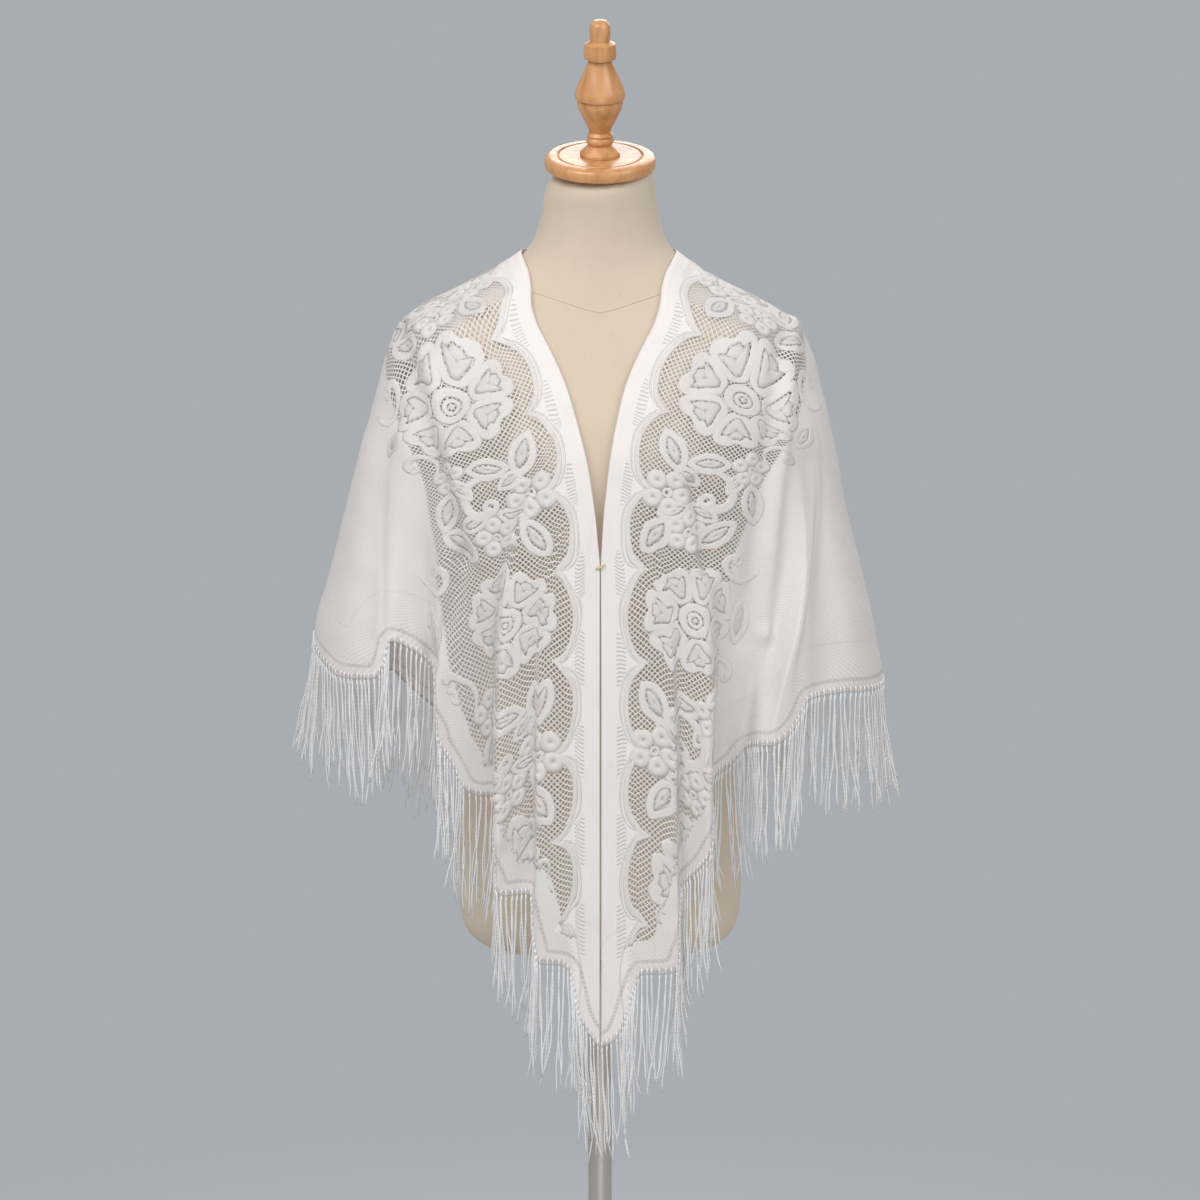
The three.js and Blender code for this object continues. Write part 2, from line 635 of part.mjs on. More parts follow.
const drape = new Drape();
const frontDrops = Array.from({ length: 13 }, (_, j) => (j / 12) ** 1.3);
const backDrops = Array.from({ length: 10 }, (_, j) => (j / 9) ** 1.35);
const stretches = {
  left_front: drapedGrid(drape, 0, drape.leftSide, 2, frontDrops),
  back: drapedGrid(drape, drape.leftSide, drape.rightSide, 3, backDrops),
  right_front: drapedGrid(drape, drape.rightSide, drape.lastLine, 2, frontDrops),
};
const model = new THREE.Group();
model.add(makeForm(), makeCapAndFinial(), makeStand());
Object.entries(stretches).forEach(([place, grid]) => {
  model.add(named(`shawl_${place}`, makeWall(grid), "lace"), named(`fringe_${place}`, makeFringe(grid), "lace"));
});
model.add(makeTack(drape));
export default model;
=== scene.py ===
"""A triangular lace shawl with a fringed, scalloped hem, hung open over a linen dress form on a stand."""

import json
import logging
import math
import random
from dataclasses import dataclass, field
from enum import Enum
from typing import Callable, NamedTuple

import bpy
import numpy as np
from mathutils import Matrix, Vector
from mathutils.bvhtree import BVHTree
from mathutils.geometry import barycentric_transform

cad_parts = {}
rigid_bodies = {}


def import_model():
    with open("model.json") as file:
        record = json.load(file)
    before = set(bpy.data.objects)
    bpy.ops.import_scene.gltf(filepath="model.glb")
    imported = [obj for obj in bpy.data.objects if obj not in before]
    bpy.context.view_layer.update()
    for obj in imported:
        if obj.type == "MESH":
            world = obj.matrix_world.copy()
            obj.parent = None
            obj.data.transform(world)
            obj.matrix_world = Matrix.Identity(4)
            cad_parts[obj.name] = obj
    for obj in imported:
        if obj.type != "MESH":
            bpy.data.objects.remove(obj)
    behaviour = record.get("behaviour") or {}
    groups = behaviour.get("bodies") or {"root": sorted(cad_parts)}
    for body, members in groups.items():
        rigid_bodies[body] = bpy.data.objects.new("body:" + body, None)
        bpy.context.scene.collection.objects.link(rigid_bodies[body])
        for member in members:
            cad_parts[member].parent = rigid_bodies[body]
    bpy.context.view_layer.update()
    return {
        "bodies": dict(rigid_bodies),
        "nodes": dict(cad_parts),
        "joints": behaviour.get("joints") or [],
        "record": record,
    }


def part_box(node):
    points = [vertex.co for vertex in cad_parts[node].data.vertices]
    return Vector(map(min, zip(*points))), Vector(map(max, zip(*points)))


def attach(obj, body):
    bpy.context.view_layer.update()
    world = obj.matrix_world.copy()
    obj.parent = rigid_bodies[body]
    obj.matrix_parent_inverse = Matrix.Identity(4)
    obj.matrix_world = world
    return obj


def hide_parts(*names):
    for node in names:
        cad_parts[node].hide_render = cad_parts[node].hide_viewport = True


LOG = logging.getLogger("shawl")
MM = 0.001
BODY = "root"
Colour = tuple[float, float, float]

# The form's neck and the tilted cap on it, in millimetres
NECK_TOP = 1385.5
CLEARANCE = 0.3
CAP_TILT = math.radians(16)
CAP_CENTRE_Y = -14
CAP_THICKNESS = 13
TURNED_STEPS = 72

# How the cloth hangs, as in the solids
SCALLOP_DEPTH = 13
MID_DROP = 0.4
FOLD_START = 0.12
COLUMNS_PER_ROW = 6
DROP_ROWS = 84
DROP_BIAS = 1.1
EDGE_REACH = 1.0
CREASE_STEPS = 90
NECK_PLACES = (4.5, 6.5)
SHELL = 0.0007
FULL_TURN = 360
TIP_HEIGHT = 536
SIDE_HEIGHT = 896
FRONT_DEGREES = 45
BACK_DEGREES = 110
BACK_FALL = 1.8

# The mild unevenness of the cloth: its height and its waves, in millimetres, and the share held at the edge
BROAD_SWELL = 0.5
BROAD_WAVES = (17, 41, 29, 53)
FINE_SWELL = 0.3
FINE_WAVES = (7.3, 23, 13.7)
EDGE_HELD = 0.12

# How ways over the cloth are measured and evened out
FARTHEST = 9.0
WALK_ROUNDS = 80
STEP_REACH = (4, 2)
EVEN_SHARE = 0.6
ALONG_ROUNDS = 150
HEM_ROUNDS = 6

# The lace band, in metres of flat cloth
REPEAT = 0.26
SCALLOPS_PER_REPEAT = 3
DASH_START = 0.0155
DASH_END = 0.0245
BORDER = 0.0215
CUSP_DEPTH = 0.024
OUTLINE = 0.0055
BAND = 0.172
BAND_SWING = 0.02
NET_CELL = 0.0056
NET_HEM = 0.031
MOTIF_HEM = 0.027
FLOWER_INWARD = 0.11
FLOWER_X = -0.135
FLOWER_Z = 1.162
NARROW = 0.8
SCALLOP_END = 0.1
SCALLOP_STEP = 0.003
THIN_LINE = 0.0014
MOTIF_SHELL = 0.0003
LONGEST_FACE = 0.016

# The stitches of the lace ground: how many to the metre, and where they lie, in metres
DASHES = 250.0
PINHOLES = 260.0
HEM_STITCHES = 230.0
RIBS = 2600.0
KNIT_CELL = 0.0042
STRAND_TWIST = 1600
STITCH_LINE = (0.0107, 0.0114)
HEM_GROOVE = (0.0098, 0.0122)
INNER_GROOVE = (0.048, 0.0486)
SCALLOP_GROOVE = (-0.0034, -0.0026)
HOLE_EDGE = (0.4, 0.34)


class Level(NamedTuple):
    """How far the cloth reaches to each side at one height, in millimetres."""

    z: float
    left: float
    right: float
    front: float
    back: float


class EdgePoint(NamedTuple):
    """A height on the long edge, and its degrees round the body from the front on either side."""

    z: float
    left: float
    right: float


class Fold(NamedTuple):
    """A hanging line: place on the long edge, degrees at middle and hem, reach outwards, hem height."""

    edge: float
    mid: float
    hem: float
    out: float
    foot: float


class Crease(NamedTuple):
    """A soft trough (negative) or ridge through three points seen from the front, in millimetres."""

    x0: float
    z0: float
    x1: float
    z1: float
    x2: float
    z2: float
    width: float
    depth: float


LEVELS = [
    Level(1308, 72, 70, 58, 63),
    Level(1292, 96, 92, 63, 73),
    Level(1270, 134, 127, 69, 84),
    Level(1252, 172, 165, 77, 93),
    Level(1230, 200, 197, 87, 103),
    Level(1200, 212, 212, 101, 113),
    Level(1160, 223, 221, 118, 120),
    Level(1110, 238, 233, 133, 125),
    Level(1050, 253, 244, 139, 128),
    Level(1000, 266, 257, 142, 131),
    Level(917, 286, 276, 146, 137),
    Level(860, 290, 283, 148, 142),
    Level(536, 290, 283, 152, 150),
]
LONG_EDGE = [
    EdgePoint(1011, 0.05, 0.2),
    EdgePoint(1082, 1.6, 1.2),
    EdgePoint(1122, 3.4, 2.7),
    EdgePoint(1166, 7.5, 5.2),
    EdgePoint(1214, 11.7, 9.3),
    EdgePoint(1270, 26, 23.7),
    EdgePoint(1292, 43, 42),
    EdgePoint(1307, 80, 80),
    EdgePoint(1305, 112, 112),
    EdgePoint(1300, 146, 146),
    EdgePoint(1297, 180, 180),
]
LEFT_FOLDS = [
    Fold(0.0, 0.05, 0.05, 0, 536),
    Fold(0.25, 1.7, 1.9, 0, 548),
    Fold(0.5, 3.5, 3.9, 0, 567),
    Fold(0.7, 4.7, 5.1, 0, 597),
    Fold(0.8, 5.5, 6.0, 0, 612),
    Fold(1.0, 7.0, 7.6, 1, 618),
    Fold(1.5, 11.0, 11.8, 3, 620),
    Fold(1.65, 12.2, 12.6, 2, 638),
    Fold(1.8, 13.2, 13.5, -6, 684),
    Fold(2.0, 14.6, 15.0, -4, 687),
    Fold(2.3, 16.8, 18.0, 8, 687),
    Fold(2.6, 18.8, 19.6, 14, 692),
    Fold(2.75, 19.8, 20.2, 2, 730),
    Fold(2.9, 20.8, 20.7, -20, 776),
    Fold(3.05, 22.2, 21.8, -30, 779),
    Fold(3.4, 25.5, 25.4, -32, 777),
    Fold(3.7, 28.8, 28.6, -29, 782),
    Fold(4.0, 32.5, 31.8, -25, 808),
    Fold(4.25, 36.5, 34.4, -18, 832),
    Fold(4.45, 40.5, 35.3, -30, 868),
    Fold(4.65, 44.5, 36.0, -37, 900),
    Fold(5.0, 52.0, 41.0, -18, 921),
    Fold(5.4, 58.0, 46.0, -5, 929),
    Fold(5.55, 61.0, 47.6, -2, 906),
    Fold(5.75, 64.0, 50.0, 2, 892),
    Fold(6.15, 70.0, 60.0, 3, 890),
    Fold(6.55, 79.0, 72.0, 1, 902),
    Fold(7.1, 90.0, 90.0, 0, 920),
    Fold(7.45, 100, 101, 5, 918),
    Fold(7.8, 110, 112, -10, 906),
    Fold(8.15, 121, 123, -2, 892),
    Fold(8.5, 132, 134, 9, 868),
    Fold(8.9, 143, 145, -3, 838),
    Fold(9.25, 155, 156, -11, 808),
    Fold(9.65, 167, 168, 6, 782),
    Fold(10, 180, 180, 3, 766),
]
RIGHT_FOLDS = [
    Fold(0.0, 0.25, 0.25, 0, 536),
    Fold(0.3, 2.5, 2.8, 0, 543),
    Fold(0.6, 4.4, 4.9, 0, 564),
    Fold(0.8, 5.8, 6.4, 1, 589),
    Fold(1.0, 7.4, 8.2, 2, 609),
    Fold(1.5, 11.8, 12.9, 5, 610),
    Fold(1.75, 14.2, 15.3, 5, 613),
    Fold(1.9, 15.0, 15.7, -2, 652),
    Fold(2.05, 15.9, 16.5, -8, 690),
    Fold(2.25, 17.2, 17.6, -4, 699),
    Fold(2.5, 19.2, 19.4, 6, 711),
    Fold(2.75, 21.4, 21.2, 13, 726),
    Fold(2.95, 23.2, 22.2, -4, 762),
    Fold(3.15, 25.5, 22.8, -31, 795),
    Fold(3.5, 32.0, 25.5, -40, 799),
    Fold(3.85, 40.0, 29.0, -41, 805),
    Fold(4.2, 47.5, 32.6, -33, 822),
    Fold(4.5, 52.5, 33.9, -8, 829),
    Fold(4.75, 56.0, 36.0, 6, 831),
    Fold(5.05, 60.5, 39.5, 5, 838),
    Fold(5.3, 64.0, 43.0, 2, 854),
    Fold(5.5, 66.5, 46.2, 0, 872),
    Fold(5.8, 70.0, 51.0, -3, 874),
    Fold(6.2, 75.0, 59.0, -2, 875),
    Fold(6.6, 81.5, 72.0, 2, 873),
    Fold(7.1, 90.0, 90.0, 0, 876),
    Fold(7.45, 100, 101, -5, 897),
    Fold(7.8, 110, 112, 6, 898),
    Fold(8.15, 121, 123, 3, 886),
    Fold(8.5, 132, 134, -9, 862),
    Fold(8.9, 143, 145, -2, 834),
    Fold(9.25, 155, 156, 9, 806),
    Fold(9.65, 167, 168, -4, 782),
    Fold(10, 180, 180, 3, 766),
]
SIDE_HEM_DEGREES = 90
FRONT_CREASES = [
    Crease(-198, 1228, -160, 1107, -133, 1013, 9, -6),
    Crease(-133, 1013, -136, 975, -166, 905, 8, -6),
    Crease(-178, 1225, -142, 1112, -117, 1010, 8, 3.5),
    Crease(-212, 1150, -222, 1040, -226, 930, 13, -3),
    Crease(-188, 1120, -196, 1030, -205, 915, 11, 2.5),
    Crease(-90, 985, -97, 900, -99, 740, 7, 3),
    Crease(-58, 960, -66, 850, -70, 700, 8, -2.5),
    Crease(-150, 1262, -120, 1205, -70, 1150, 12, -2),
    Crease(193, 1237, 173, 1096, 161, 935, 7, 5),
    Crease(161, 935, 157, 880, 156, 835, 7, 4.5),
    Crease(178, 1215, 156, 1080, 140, 930, 10, -5),
    Crease(90, 1085, 98, 1050, 104, 1000, 7, -7),
    Crease(104, 1000, 108, 880, 110, 735, 8, 3),
    Crease(214, 1150, 232, 1020, 250, 890, 12, 2.5),
    Crease(205, 1100, 216, 1000, 222, 885, 12, -2.5),
    Crease(52, 940, 60, 830, 66, 700, 8, -2.5),
    Crease(130, 1255, 100, 1190, 60, 1130, 12, -2),
]
BACK_CREASES = [
    Crease(-150, 1200, -120, 1060, -110, 900, 14, -4),
    Crease(-60, 1240, -52, 1080, -58, 860, 15, 3),
    Crease(20, 1230, 34, 1050, 28, 840, 15, -4),
    Crease(95, 1225, 110, 1080, 118, 900, 13, 3.5),
    Crease(160, 1190, 182, 1050, 196, 910, 13, -3.5),
    Crease(-196, 1150, -206, 1040, -214, 930, 12, 3),
]


class OutlinePoint(NamedTuple):
    """One point of a turned outline: radius and height, in millimetres."""

    radius: float
    height: float


FINIAL = [
    OutlinePoint(0, 0),
    OutlinePoint(19.8, 0),
    OutlinePoint(19.6, 2.4),
    OutlinePoint(15, 6.8),
    OutlinePoint(11.3, 10.2),
    OutlinePoint(13.3, 12.7),
    OutlinePoint(13.9, 14.6),
    OutlinePoint(13.3, 16.6),
    OutlinePoint(12.2, 18.3),
    OutlinePoint(13, 20.5),
    OutlinePoint(10.4, 23.4),
    OutlinePoint(12, 28.3),
    OutlinePoint(16.5, 37),
    OutlinePoint(21.2, 46.8),
    OutlinePoint(22.6, 52.6),
    OutlinePoint(21.8, 55.8),
    OutlinePoint(24.4, 57.9),
    OutlinePoint(25, 61.9),
    OutlinePoint(23.6, 66.3),
    OutlinePoint(17.8, 80),
    OutlinePoint(12.8, 90.7),
    OutlinePoint(11.3, 95.5),
    OutlinePoint(15.4, 97.5),
    OutlinePoint(16.2, 101.4),
    OutlinePoint(15.8, 105.3),
    OutlinePoint(14.8, 111.7),
    OutlinePoint(9.7, 114.5),
    OutlinePoint(10.4, 123.8),
    OutlinePoint(9.6, 130.6),
    OutlinePoint(6.4, 134.5),
    OutlinePoint(0, 136),
]
CAP = [
    OutlinePoint(0, 0),
    OutlinePoint(52.6, 0),
    OutlinePoint(54.1, 1),
    OutlinePoint(54.6, 3),
    OutlinePoint(54.6, 8),
    OutlinePoint(53.9, 10.2),
    OutlinePoint(52.6, 11.6),
    OutlinePoint(48.6, 13),
    OutlinePoint(43, 13),
    OutlinePoint(41.5, 11.4),
    OutlinePoint(40, 13),
    OutlinePoint(0, 13),
]
FLANGE = [
    OutlinePoint(12.3, 593.7),
    OutlinePoint(12.3, 553.7),
    OutlinePoint(18, 553.7),
    OutlinePoint(19, 554.7),
    OutlinePoint(19, 592.7),
    OutlinePoint(20, 593.7),
    OutlinePoint(45, 593.7),
    OutlinePoint(46, 594.7),
    OutlinePoint(46, 599.7),
    OutlinePoint(12.3, 599.7),
    OutlinePoint(12.3, 593.7),
]
POLE = [OutlinePoint(0, 14.3), OutlinePoint(12, 14.3), OutlinePoint(12, 593.4), OutlinePoint(0, 593.4)]
HUB = [
    OutlinePoint(12.3, 14.3),
    OutlinePoint(26, 14.3),
    OutlinePoint(26, 25),
    OutlinePoint(24.6, 28),
    OutlinePoint(19.6, 33),
    OutlinePoint(18.3, 37),
    OutlinePoint(17.7, 47),
    OutlinePoint(16.7, 48.3),
    OutlinePoint(12.3, 48.3),
    OutlinePoint(12.3, 14.3),
]
PLATE = [
    OutlinePoint(0, 0),
    OutlinePoint(149, 0),
    OutlinePoint(150, 1),
    OutlinePoint(150, 5),
    OutlinePoint(149, 6.3),
    OutlinePoint(146, 7),
    OutlinePoint(98, 10),
    OutlinePoint(52, 12.5),
    OutlinePoint(34, 14),
    OutlinePoint(0, 14),
]


class Field:
    """A value that changes over a surface: one shader socket with arithmetic."""

    def __init__(self, tree: bpy.types.NodeTree, socket: bpy.types.NodeSocket) -> None:
        """Keeps the tree and the socket that the value comes from."""
        self.tree = tree
        self.socket = socket

    def apply(self, operation: str, *others: "Field | float") -> "Field":
        """Puts the value and others through one Math node.

        Args:
            operation: the Math node's operation.
            others: the node's other inputs.

        Returns:
            The node's result.
        """
        node = self.tree.nodes.new("ShaderNodeMath")
        node.operation = operation
        for socket, value in zip(node.inputs, (self, *others)):
            if isinstance(value, Field):
                self.tree.links.new(value.socket, socket)
            else:
                socket.default_value = value
        return Field(self.tree, node.outputs[0])

    def __add__(self, other: "Field | float") -> "Field":
        """The sum."""
        return self.apply("ADD", other)

    def __sub__(self, other: "Field | float") -> "Field":
        """The difference."""
        return self.apply("SUBTRACT", other)

    def __mul__(self, other: "Field | float") -> "Field":
        """The product."""
        return self.apply("MULTIPLY", other)

    def inverted(self) -> "Field":
        """One minus the value."""
        return self.apply("MULTIPLY_ADD", -1.0, 1.0)

    def ramp(self, low: float, high: float) -> "Field":
        """The value's smooth rise from 0 at low to 1 at high; low may be the greater.

        Args:
            low: the value that gives 0.
            high: the value that gives 1.

        Returns:
            The rise.
        """
        node = self.tree.nodes.new("ShaderNodeMapRange")
        node.interpolation_type = "SMOOTHSTEP"
        self.tree.links.new(self.socket, node.inputs["Value"])
        node.inputs["From Min"].default_value = low
        node.inputs["From Max"].default_value = high
        return Field(self.tree, node.outputs["Result"])

    def within(self, low: float, high: float, soft: float) -> "Field":
        """One between low and high, zero outside, over a soft edge.

        Args:
            low: the lower end.
            high: the upper end.
            soft: the edge's width.

        Returns:
            The mask.
        """
        return self.ramp(low - soft, low) * self.ramp(high + soft, high)


class Tree:
    """Shorthand for filling one shader node tree."""

    def __init__(self, tree: bpy.types.NodeTree) -> None:
        """Keeps the tree."""
        self.tree = tree

    def node(self, kind: str, inputs: dict | None = None, **settings: object) -> bpy.types.Node:
        """Adds a node.

        Args:
            kind: the node's type.
            inputs: a value, Field or socket for each named input.
            settings: the node's own properties.

        Returns:
            The node.
        """
        node = self.tree.nodes.new(kind)
        for name, value in settings.items():
            setattr(node, name, value)
        for name, value in (inputs or {}).items():
            if isinstance(value, Field):
                self.tree.links.new(value.socket, node.inputs[name])
            elif isinstance(value, bpy.types.NodeSocket):
                self.tree.links.new(value, node.inputs[name])
            else:
                node.inputs[name].default_value = value
        return node

    def parts(self, vector: bpy.types.NodeSocket) -> list[Field]:
        """The three parts of a vector."""
        node = self.node("ShaderNodeSeparateXYZ", {"Vector": vector})
        return [Field(self.tree, socket) for socket in node.outputs]

    def uv(self, name: str) -> bpy.types.NodeSocket:
        """A named UV map's coordinates."""
        return self.node("ShaderNodeUVMap", uv_map=name).outputs["UV"]

    def noise(self, vector: bpy.types.NodeSocket, scale: float, detail: float = 3.0) -> Field:
        """Smooth noise over a vector.

        Args:
            vector: the coordinates.
            scale: waves for each metre.
            detail: how many finer layers it has.

        Returns:
            The noise, about 0 to 1.
        """
        node = self.node("ShaderNodeTexNoise", {"Vector": vector, "Scale": scale, "Detail": detail})
        return Field(self.tree, node.outputs["Fac"])

    def mix(self, share: Field, first: Colour | bpy.types.NodeSocket, second: Colour) -> bpy.types.NodeSocket:
        """Blends two colours.

        Args:
            share: how much of the second shows.
            first: the first colour, plain or from a socket.
            second: the second colour.

        Returns:
            The blend's socket.
        """
        node = self.node("ShaderNodeMix", data_type="RGBA")
        self.tree.links.new(share.socket, node.inputs["Factor"])
        if isinstance(first, bpy.types.NodeSocket):
            self.tree.links.new(first, node.inputs[6])
        else:
            node.inputs[6].default_value = (*first, 1)
        node.inputs[7].default_value = (*second, 1)
        return node.outputs[2]


def fabric_grain() -> bpy.types.NodeTree:
    """The shared group that gives crossing threads and a soft unevenness over a flat pattern.

    Returns:
        The node group, with inputs Vector and Threads, and outputs Height and Tone.
    """
    name = "fabric_grain"
    if name in bpy.data.node_groups:
        return bpy.data.node_groups[name]
    group = bpy.data.node_groups.new(name, "ShaderNodeTree")
    group.interface.new_socket("Vector", in_out="INPUT", socket_type="NodeSocketVector")
    group.interface.new_socket("Threads", in_out="INPUT", socket_type="NodeSocketFloat")
    group.interface.new_socket("Height", in_out="OUTPUT", socket_type="NodeSocketFloat")
    group.interface.new_socket("Tone", in_out="OUTPUT", socket_type="NodeSocketFloat")
    tree = Tree(group)
    source = group.nodes.new("NodeGroupInput")
    across, down, _ = tree.parts(source.outputs["Vector"])
    threads = Field(group, source.outputs["Threads"]) * (2 * math.pi)
    height = (across * threads).apply("SINE") * (down * threads).apply("SINE")
    slubs = tree.noise(source.outputs["Vector"], 420, 2)
    tone = tree.noise(source.outputs["Vector"], 14, 4)
    target = group.nodes.new("NodeGroupOutput")
    group.links.new((height * 0.5 + slubs).socket, target.inputs["Height"])
    group.links.new(tone.socket, target.inputs["Tone"])
    return group


class Surface(Tree):
    """A new material: its tree, its Principled shader and its bump."""

    def __init__(self, name: str, **values: object) -> None:
        """Makes the material.

        Args:
            name: its name.
            values: plain values for the shader's sockets, by the socket's name.
        """
        self.material = bpy.data.materials.new(name)
        self.material.use_nodes = True
        super().__init__(self.material.node_tree)
        self.shader = self.tree.nodes["Principled BSDF"]
        for socket, value in values.items():
            self.shader.inputs[socket.replace("_", " ")].default_value = value

    def feed(self, socket: str, value: Field | bpy.types.NodeSocket) -> None:
        """Links a value to one of the shader's sockets."""
        self.tree.links.new(value.socket if isinstance(value, Field) else value, self.shader.inputs[socket])

    def bump(self, height: Field, distance: float, strength: float = 1.0) -> None:
        """Raises the surface by a height field.

        Args:
            height: the height, about 0 to 1.
            distance: metres for a height of 1.
            strength: how strongly it shows.
        """
        node = self.node("ShaderNodeBump", {"Height": height, "Distance": distance, "Strength": strength})
        self.feed("Normal", node.outputs["Normal"])

    def grain(self, vector: bpy.types.NodeSocket, threads: float) -> tuple[Field, Field]:
        """Places the shared fabric grain.

        Args:
            vector: the flat pattern's coordinates.
            threads: threads for each metre.

        Returns:
            The grain's height and tone.
        """
        node = self.node("ShaderNodeGroup", node_tree=fabric_grain())
        self.tree.links.new(vector, node.inputs["Vector"])
        node.inputs["Threads"].default_value = threads
        return Field(self.tree, node.outputs["Height"]), Field(self.tree, node.outputs["Tone"])


@dataclass(frozen=True)
class LinenFinish:
    """Cream linen with a fine plain weave and slubs."""

    light: Colour = (0.70, 0.60, 0.48)
    dark: Colour = (0.60, 0.50, 0.385)
    threads: float = 900
    body_radius: float = 0.14

    def material(self) -> bpy.types.Material:
        """The linen, with its weave running round and down the form.

        Returns:
            The material.
        """
        surface = Surface("linen", Roughness=0.92, Sheen_Weight=0.15)
        place = surface.node("ShaderNodeTexCoord").outputs["Object"]
        across, deep, up = surface.parts(place)
        turn = across.apply("ARCTAN2", deep) * self.body_radius
        joined = surface.node("ShaderNodeCombineXYZ", {"X": turn, "Y": up})
        height, tone = surface.grain(joined.outputs["Vector"], self.threads)
        slub = surface.noise(place, 190, 5).ramp(0.62, 0.78) * 0.5
        surface.feed("Base Color", surface.mix(tone * 0.7 + slub, self.light, self.dark))
        surface.bump(height, 0.00025, 0.7)
        return surface.material


@dataclass(frozen=True)
class WoodFinish:
    """Honey-coloured turned wood under a satin varnish."""

    light: Colour = (0.66, 0.35, 0.15)
    dark: Colour = (0.47, 0.20, 0.065)

    def material(self) -> bpy.types.Material:
        """The wood, with grain along the turning's axis.

        Returns:
            The material.
        """
        surface = Surface("varnished_wood", Roughness=0.38, Coat_Weight=0.35, Coat_Roughness=0.2)
        place = surface.node("ShaderNodeTexCoord").outputs["Object"]
        drawn = surface.node("ShaderNodeMapping", {"Vector": place, "Scale": (1, 1, 0.12)}).outputs["Vector"]
        streaks = surface.noise(drawn, 130, 6)
        broad = surface.noise(drawn, 28, 3)
        share = (streaks * 0.7 + broad * 0.5).ramp(0.42, 0.82)
        surface.feed("Base Color", surface.mix(share, self.light, self.dark))
        surface.feed("Roughness", streaks * 0.25 + 0.25)
        surface.bump(streaks, 0.0002, 0.4)
        return surface.material


@dataclass(frozen=True)
class SteelFinish:
    """Satin grey-beige steel with faint drawing marks."""

    light: Colour = (0.66, 0.615, 0.57)
    dark: Colour = (0.52, 0.48, 0.44)

    def material(self) -> bpy.types.Material:
        """The steel, brushed along its length.

        Returns:
            The material.
        """
        surface = Surface("satin_steel", Metallic=0.85, Roughness=0.36)
        place = surface.node("ShaderNodeTexCoord").outputs["Object"]
        drawn = surface.node("ShaderNodeMapping", {"Vector": place, "Scale": (1, 1, 0.03)}).outputs["Vector"]
        marks = surface.noise(drawn, 600, 4)
        smudge = surface.noise(place, 9, 4)
        surface.feed("Base Color", surface.mix(smudge, self.light, self.dark))
        surface.feed("Roughness", marks * 0.14 + smudge * 0.16 + 0.22)
        surface.bump(marks, 0.00005, 0.5)
        return surface.material


def light_passing(surface: Surface, solid: Field | float, light: float) -> Field:
    """How solid a thin knit is: light passes it more easily than sight does.

    Args:
        surface: the material.
        solid: how solid it looks.
        light: how much less solid it is for the light that falls through it.

    Returns:
        The value for the shader's Alpha.
    """
    shadow = Field(surface.tree, surface.node("ShaderNodeLightPath").outputs["Is Shadow Ray"])
    return shadow * -light + solid


class LaceKind(Enum):
    """The ways in which the lace is knitted."""

    DENSE = "lace_dense"
    SHEER = "lace_sheer"


